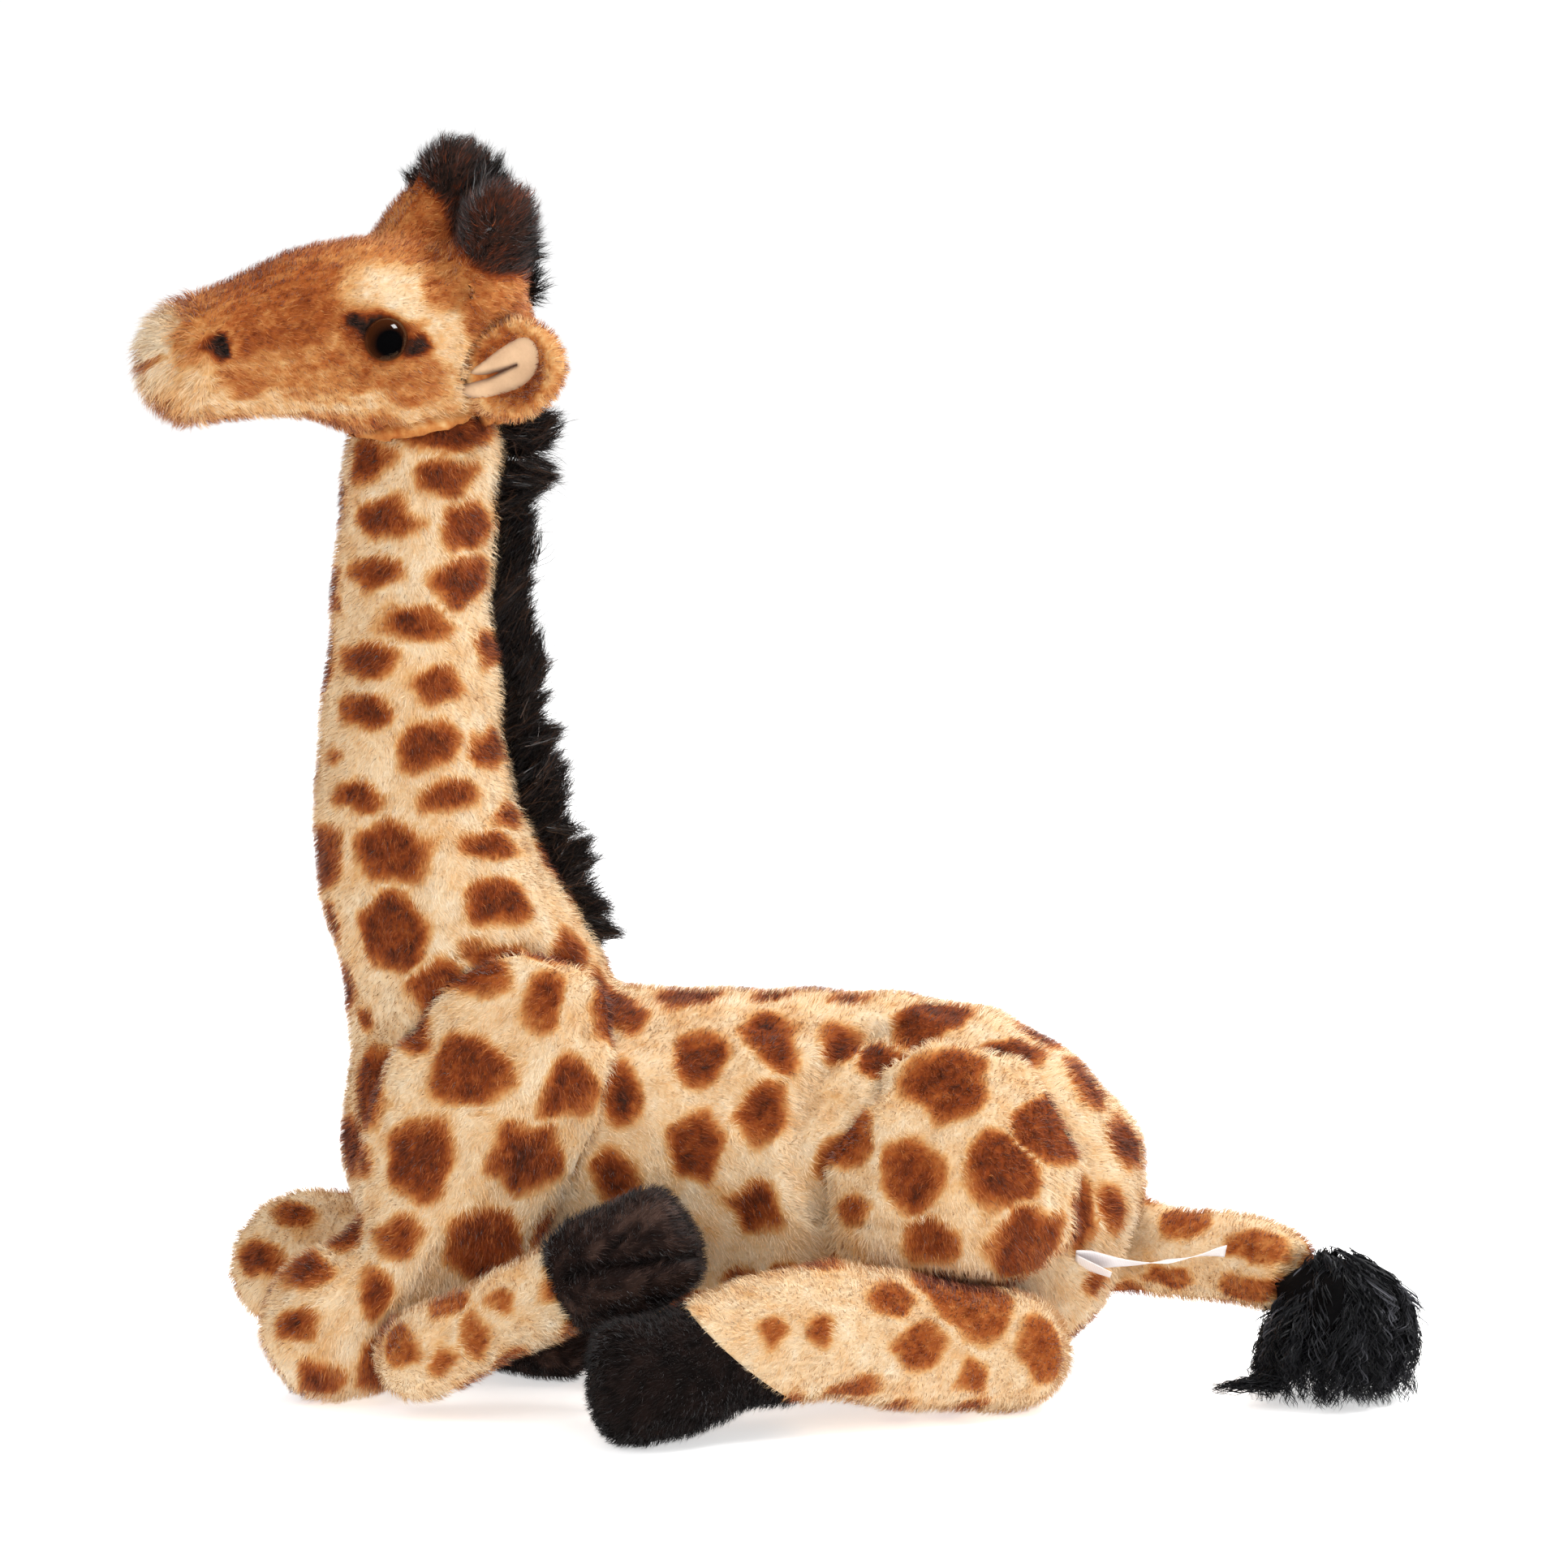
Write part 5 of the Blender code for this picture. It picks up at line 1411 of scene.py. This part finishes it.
def make_mane():
    """Mane down the back of the neck, in pointed locks."""
    skin = hair_skin("mane", "mane", "neck", 1.5 * MM, 2, -1.2 * MM, 0.85)
    draw = np.random.default_rng(201)
    parts = locks_of(MANE_LOCKS, 0.0, 1.5 * MM, 0.10, MANE_HAIRS, draw, 1.6 * MM)
    us, vs, rises = zip(*((u, v, rise) for (u, v), rise, *_ in MANE_LOCKS))
    order = np.arange(len(MANE_LOCKS))
    for place in draw.uniform(0, len(MANE_LOCKS) - 1, FLUFF_LOCKS):
        u = np.interp(place, order, us) + draw.uniform(-15, 7)
        tip = at_pixel(u, np.interp(place, order, vs) + draw.normal(0, 3), draw.normal(0, 2.5 * MM))
        way = rising(np.interp(place, order, rises) + draw.normal(0, 20), 0.25, draw)
        parts.append(lock_strands(tip, way, draw.uniform(8, 13) * MM, 1.3 * MM, FLUFF_HAIRS, draw))
    roots, ways, tips = joined(parts)
    locks = long_hair("mane_hair", 202, roots, ways, tips, frizz=0.45 * MM, tones=0.72, spread=0.30,
                      width=0.25 * MM)
    under, normals = sample_surface(skin.data, MANE_UNDERHAIRS, draw)
    rise = np.interp(under[:, 2], (125 * MM, 150 * MM, 200 * MM, 260 * MM), (0.0, 0.5, 0.9, 1.0))
    ways = unit(normals * 0.7 + np.stack((np.full(len(under), 0.5), np.zeros(len(under)), rise), 1)
                + draw.normal(0, 0.16, under.shape))
    lengths = draw.uniform(4.5, 7.5, len(under)) * MM
    short = long_hair("mane_underhair", 203, under, ways, lengths=lengths, frizz=0.3 * MM, tones=0.88,
                      width=0.26 * MM)
    picked = draw.integers(0, len(roots), WISPS)
    wander = unit(tips[picked] - roots[picked] + draw.normal(0, 3.5 * MM, (WISPS, 3)))
    loose = long_hair("mane_wisps", 204, roots[picked], wander, lengths=draw.uniform(7, 15, WISPS) * MM,
                      frizz=0.7 * MM, tones=0.34, spread=0.24, width=0.19 * MM)
    settle((skin, locks, short, loose), "trunk")


def make_crest():
    """Shaggy crest behind the ossicones, and the longer hair of their tips."""
    skin = hair_skin("crest", "crest", "head", 1.3 * MM, 2, -1.0 * MM, 0.85)
    draw = np.random.default_rng(211)
    locks = locks_of(CREST_LOCKS, 1.0 * MM, 2.5 * MM, 0.12, CREST_HAIRS, draw)
    pieces = [skin, long_hair("crest_hair", 212, *joined(locks), tones=0.82, spread=0.22, width=0.24 * MM)]
    under, normals = sample_surface(skin.data, CREST_UNDERHAIRS, draw)
    ways = unit(normals * 0.8 + np.array((0.35, 0.0, 0.55)) + draw.normal(0, 0.25, under.shape))
    lengths = draw.uniform(4.0, 8.0, len(under)) * MM
    pieces.append(long_hair("crest_underhair", 213, under, ways, lengths=lengths, frizz=0.4 * MM, tones=0.85))
    for side, rows in (("far", FAR_TIP_LOCKS), ("near", NEAR_TIP_LOCKS)):
        low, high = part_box(f"{side}_ossicone_tip")
        locks = locks_of(rows, (low.y + high.y) / 2, 3.0 * MM, 0.2, TIP_HAIRS, draw)
        pieces.append(long_hair(f"{side}_ossicone_hair", 214, *joined(locks), frizz=0.6 * MM, tones=0.62,
                                spread=0.28, width=0.25 * MM))
    settle(pieces, "head_body")


TUFT_CURTAIN = (  # pixels of the mop's left and right outline, from the top down
    (1536, 1606, 1672), (1554, 1582, 1722), (1580, 1570, 1750), (1605, 1560, 1756), (1640, 1555, 1748),
    (1670, 1550, 1738), (1700, 1546, 1728), (1722, 1556, 1722),
)
YARNS = 280
YARN_POINTS = 26
YARN_STRANDS = 3900
YARN_WIDTH = 0.50 * MM
YARN_CRIMP = np.array((1.25, 1.25, 0.4)) * MM
YARN_SWAY = np.array((1.8, 1.8, 0.0)) * MM
STRAYS = 150
STRAY_ENDS = ((1575, 1700), (1490, 1712))    # pixels between which stray yarns lie on the floor


def yarn_lines(centre, top, steps, draw):
    """Paths of the mop's strands, and their yarns, which keep their places across it on the way down."""
    rows = []
    for v, left, right in TUFT_CURTAIN:
        start, end = at_pixel(left, v, centre[1]), at_pixel(right, v, centre[1])
        rows.append((start[2], start[0], end[0]))
    levels, lefts, rights = np.array(rows)[::-1].T
    yarn = draw.integers(0, YARNS, YARN_STRANDS)
    angle = draw.uniform(0, TURN, YARNS)[yarn] + draw.normal(0, 0.06, YARN_STRANDS)
    out = np.sqrt(draw.uniform(0.30, 1.0, YARNS))[yarn] + draw.normal(0, 0.03, YARN_STRANDS)
    out = np.clip(out, 0, 1)
    place_x, place_y = out * np.cos(angle), out * np.sin(angle)
    crown = centre[2] + (top - centre[2]) * np.sqrt(np.clip(1 - out ** 2, 0, 1))
    crown += draw.normal(0, 1.2 * MM, YARN_STRANDS)
    lowest = np.abs(draw.normal(0, 3.5 * MM, YARNS)) + 0.6 * MM
    lowest[draw.random(YARNS) < 0.20] += 12 * MM
    ends = np.clip(lowest[yarn] + draw.normal(0, 0.8 * MM, YARN_STRANDS), 0.6 * MM, 24 * MM)
    heights = crown[:, None] + (np.minimum(ends, crown - 4 * MM) - crown)[:, None] * steps[None, :]
    left, right = np.interp(heights, levels, lefts), np.interp(heights, levels, rights)
    half = (right - left) / 2
    grow = 0.55 + 0.45 * np.sqrt(np.clip(steps * 2.2, 0, 1))
    x = (left + right) / 2 + place_x[:, None] * half * grow[None, :]
    y = centre[1] + place_y[:, None] * half * 0.92 * grow[None, :]
    lines = np.stack((x, y, heights), 2)
    share = steps[None, :, None]
    turns = (crown - ends)[:, None, None] / (draw.uniform(6.5, 11, (YARNS, 1, 1))[yarn] * MM)
    phase = draw.uniform(0, TURN, (YARNS, 1, 3))[yarn] + draw.normal(0, 0.35, (YARN_STRANDS, 1, 3))
    lines += np.sin(phase + TURN * turns * share) * YARN_CRIMP
    wander = TURN * share * draw.uniform(0.3, 0.9, (YARNS, 1, 3))[yarn]
    lines += np.sin(draw.uniform(0, TURN, (YARNS, 1, 3))[yarn] + wander) * YARN_SWAY
    fly = draw.uniform(-12, 7, (YARNS, 1, 1))[yarn].clip(0) * MM
    away = np.stack((place_x + 0.35, place_y, draw.uniform(-0.3, 0.7, YARNS)[yarn]), 1)
    return lines + unit(away)[:, None, :] * share ** 2 * fly, yarn


def stray_lines(plane, steps, draw):
    """Paths of the few yarns that lie on the floor beside the mop."""
    start, finish = (at_pixel(u, v, plane) for u, v in STRAY_ENDS)
    share = steps[None, :, None]
    lines = start + (finish - start) * share * draw.uniform(0.35, 1.0, (STRAYS, 1, 1))
    lines = lines + draw.normal(0, 1.0 * MM, (STRAYS, 1, 3)) * (1.6 - share)
    return lines + np.sin(draw.uniform(0, 6.3, (STRAYS, 1, 3)) + share * 14) * 0.5 * MM


def make_tuft():
    """Mop of crimped black yarn that hangs from the tail's end to the floor."""
    skin = hair_skin("tuft", "tail_tuft", "tail", 2.0 * MM, 6, -2.5 * MM, 0.95)
    draw = np.random.default_rng(221)
    low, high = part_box("tail_tuft")
    centre = np.array((low + high) / 2)
    steps = np.linspace(0, 1, YARN_POINTS)
    lines, yarn = yarn_lines(centre, high.z, steps, draw)
    lines = np.concatenate((lines, stray_lines(centre[1] - 12 * MM, steps, draw)))
    lines[:, :, 2] = np.maximum(lines[:, :, 2], 0.4 * MM)
    facing = unit(np.cross(lines[:, 4] - lines[:, 3], unit(draw.normal(size=(len(lines), 3)))))
    tones = np.concatenate((draw.normal(0.74, 0.24, YARNS)[yarn], np.full(STRAYS, 0.8)))
    shade = shade_index(tones, DARK_STEPS, draw, 0.10)
    hair = add_strands("tuft_hair", lines, facing, YARN_WIDTH, shade, YARN_FIBRES)
    settle((skin, hair), "tail_body")


# Eyes
EYE_RINGS = 14
EYE_SEGMENTS = 48


def make_eyes():
    """Domed safety eyes, finer than the frame's and in the same places, and the washers behind them."""
    gloss, nylon = eye_material(), nylon_material()
    bends = [k / EYE_RINGS * math.pi / 2 for k in range(1, EYE_RINGS + 1)]
    rings = [(EYE_RADIUS * math.sin(bend), EYE_DOME * (math.cos(bend) - 1)) for bend in bends]
    rings += [(EYE_RADIUS * 0.97, -EYE_DOME - 0.9 * MM), (EYE_RADIUS * 0.5, -EYE_DOME - 1.1 * MM)]
    last = 1 + (len(rings) - 1) * EYE_SEGMENTS
    faces = ring_faces(EYE_SEGMENTS, len(rings))
    faces.append(tuple(last + k for k in reversed(range(EYE_SEGMENTS))))
    for side in SIDES:
        middle, axis = eye_axis(side)
        turn = np.array(Vector(axis).to_track_quat("Z", "Y").to_matrix())
        verts, tones = [middle], [0.0]
        for radius, height in rings:
            for k in range(EYE_SEGMENTS):
                angle = TURN * k / EYE_SEGMENTS
                local = np.array((radius * math.cos(angle), radius * math.sin(angle), height))
                verts.append(middle + turn @ local)
                tones.append(radius / EYE_RADIUS)
        mesh = mesh_of(f"{side}_eye_dome", verts, faces)
        store_tone(mesh, tones)
        mesh.shade_smooth()
        piece = new_object(f"{side}_eye_dome", mesh)
        set_material(piece, gloss)
        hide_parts(f"{side}_eye")
        settle((piece,), "head_body")
        set_material(frame["nodes"][f"{side}_eye_washer"], nylon)


# Camera, light and floor
LIGHTS = (                  # name, place, size, power, whether it shows in gloss
    ("key_light", (-1.1, -1.7, 1.7), 1.3, 18.5, False),
    ("fill_light", (1.6, -1.5, 1.0), 1.6, 7, False),
    ("top_light", (0.2, 0.3, 2.2), 1.8, 15.5, False),
    ("back_light", (0.6, 2.0, 1.3), 1.6, 7, False),
    ("catch_light", (0.72, -0.35, 1.18), 0.44, 12, True),
    ("far_catch_light", (0.72, 0.95, 1.18), 0.44, 8, True),
)
LIGHT_AIM = Vector((0, 0, 0.15))
WORLD_STRENGTH = 0.50
FLOOR_RADIUS = 40
FLOOR_GREY = 0.93
FLOOR_GLOW = 0.60


def turn_to(piece, way):
    """Turns a camera or lamp to look along a direction."""
    piece.rotation_mode = "QUATERNION"
    piece.rotation_quaternion = way.to_track_quat("-Z", "Y")


def make_stage():
    """Photograph's camera, soft studio light and a plain pale floor."""
    scene = bpy.context.scene
    camera = new_object("camera", bpy.data.cameras.new("camera"))
    camera.data.sensor_width = SENSOR
    camera.data.lens = SENSOR * CAMERA_DISTANCE / FRAME_WIDTH
    camera.data.clip_end = 100
    camera.location = CAMERA_PLACE
    turn_to(camera, Vector(-CAMERA_BACK))
    scene.camera = camera
    for name, place, size, power, glossy in LIGHTS:
        lamp = new_object(name, bpy.data.lights.new(name, "AREA"))
        lamp.data.size = size
        lamp.data.energy = power
        lamp.location = place
        lamp.visible_glossy = glossy
        turn_to(lamp, LIGHT_AIM - Vector(place))
    scene.view_settings.view_transform = "Standard"
    world = bpy.data.worlds.new("studio")
    world.use_nodes = True
    sky = world.node_tree.nodes["Background"]
    sky.inputs["Color"].default_value = (1, 1, 1, 1)
    sky.inputs["Strength"].default_value = WORLD_STRENGTH
    world.cycles_visibility.glossy = False
    scene.world = world
    mesh = bpy.data.meshes.new("floor")
    bm = bmesh.new()
    bmesh.ops.create_circle(bm, cap_ends=True, radius=FLOOR_RADIUS, segments=64)
    bm.to_mesh(mesh)
    bm.free()
    floor = new_object("floor", mesh)
    material, shader = new_material("floor_paper", roughness=0.9, specular=0.1)
    shader.inputs["Base Color"].default_value = (FLOOR_GREY, FLOOR_GREY, FLOOR_GREY, 1)
    shader.inputs["Emission Color"].default_value = (1, 1, 1, 1)
    shader.inputs["Emission Strength"].default_value = FLOOR_GLOW
    set_material(floor, material)
    floor.visible_glossy = False


make_stage()
make_legs_and_body()
make_head()
for index, side in enumerate(SIDES):
    make_ear(side, 146 + index)
make_label()
make_mane()
make_crest()
make_tuft()
make_eyes()
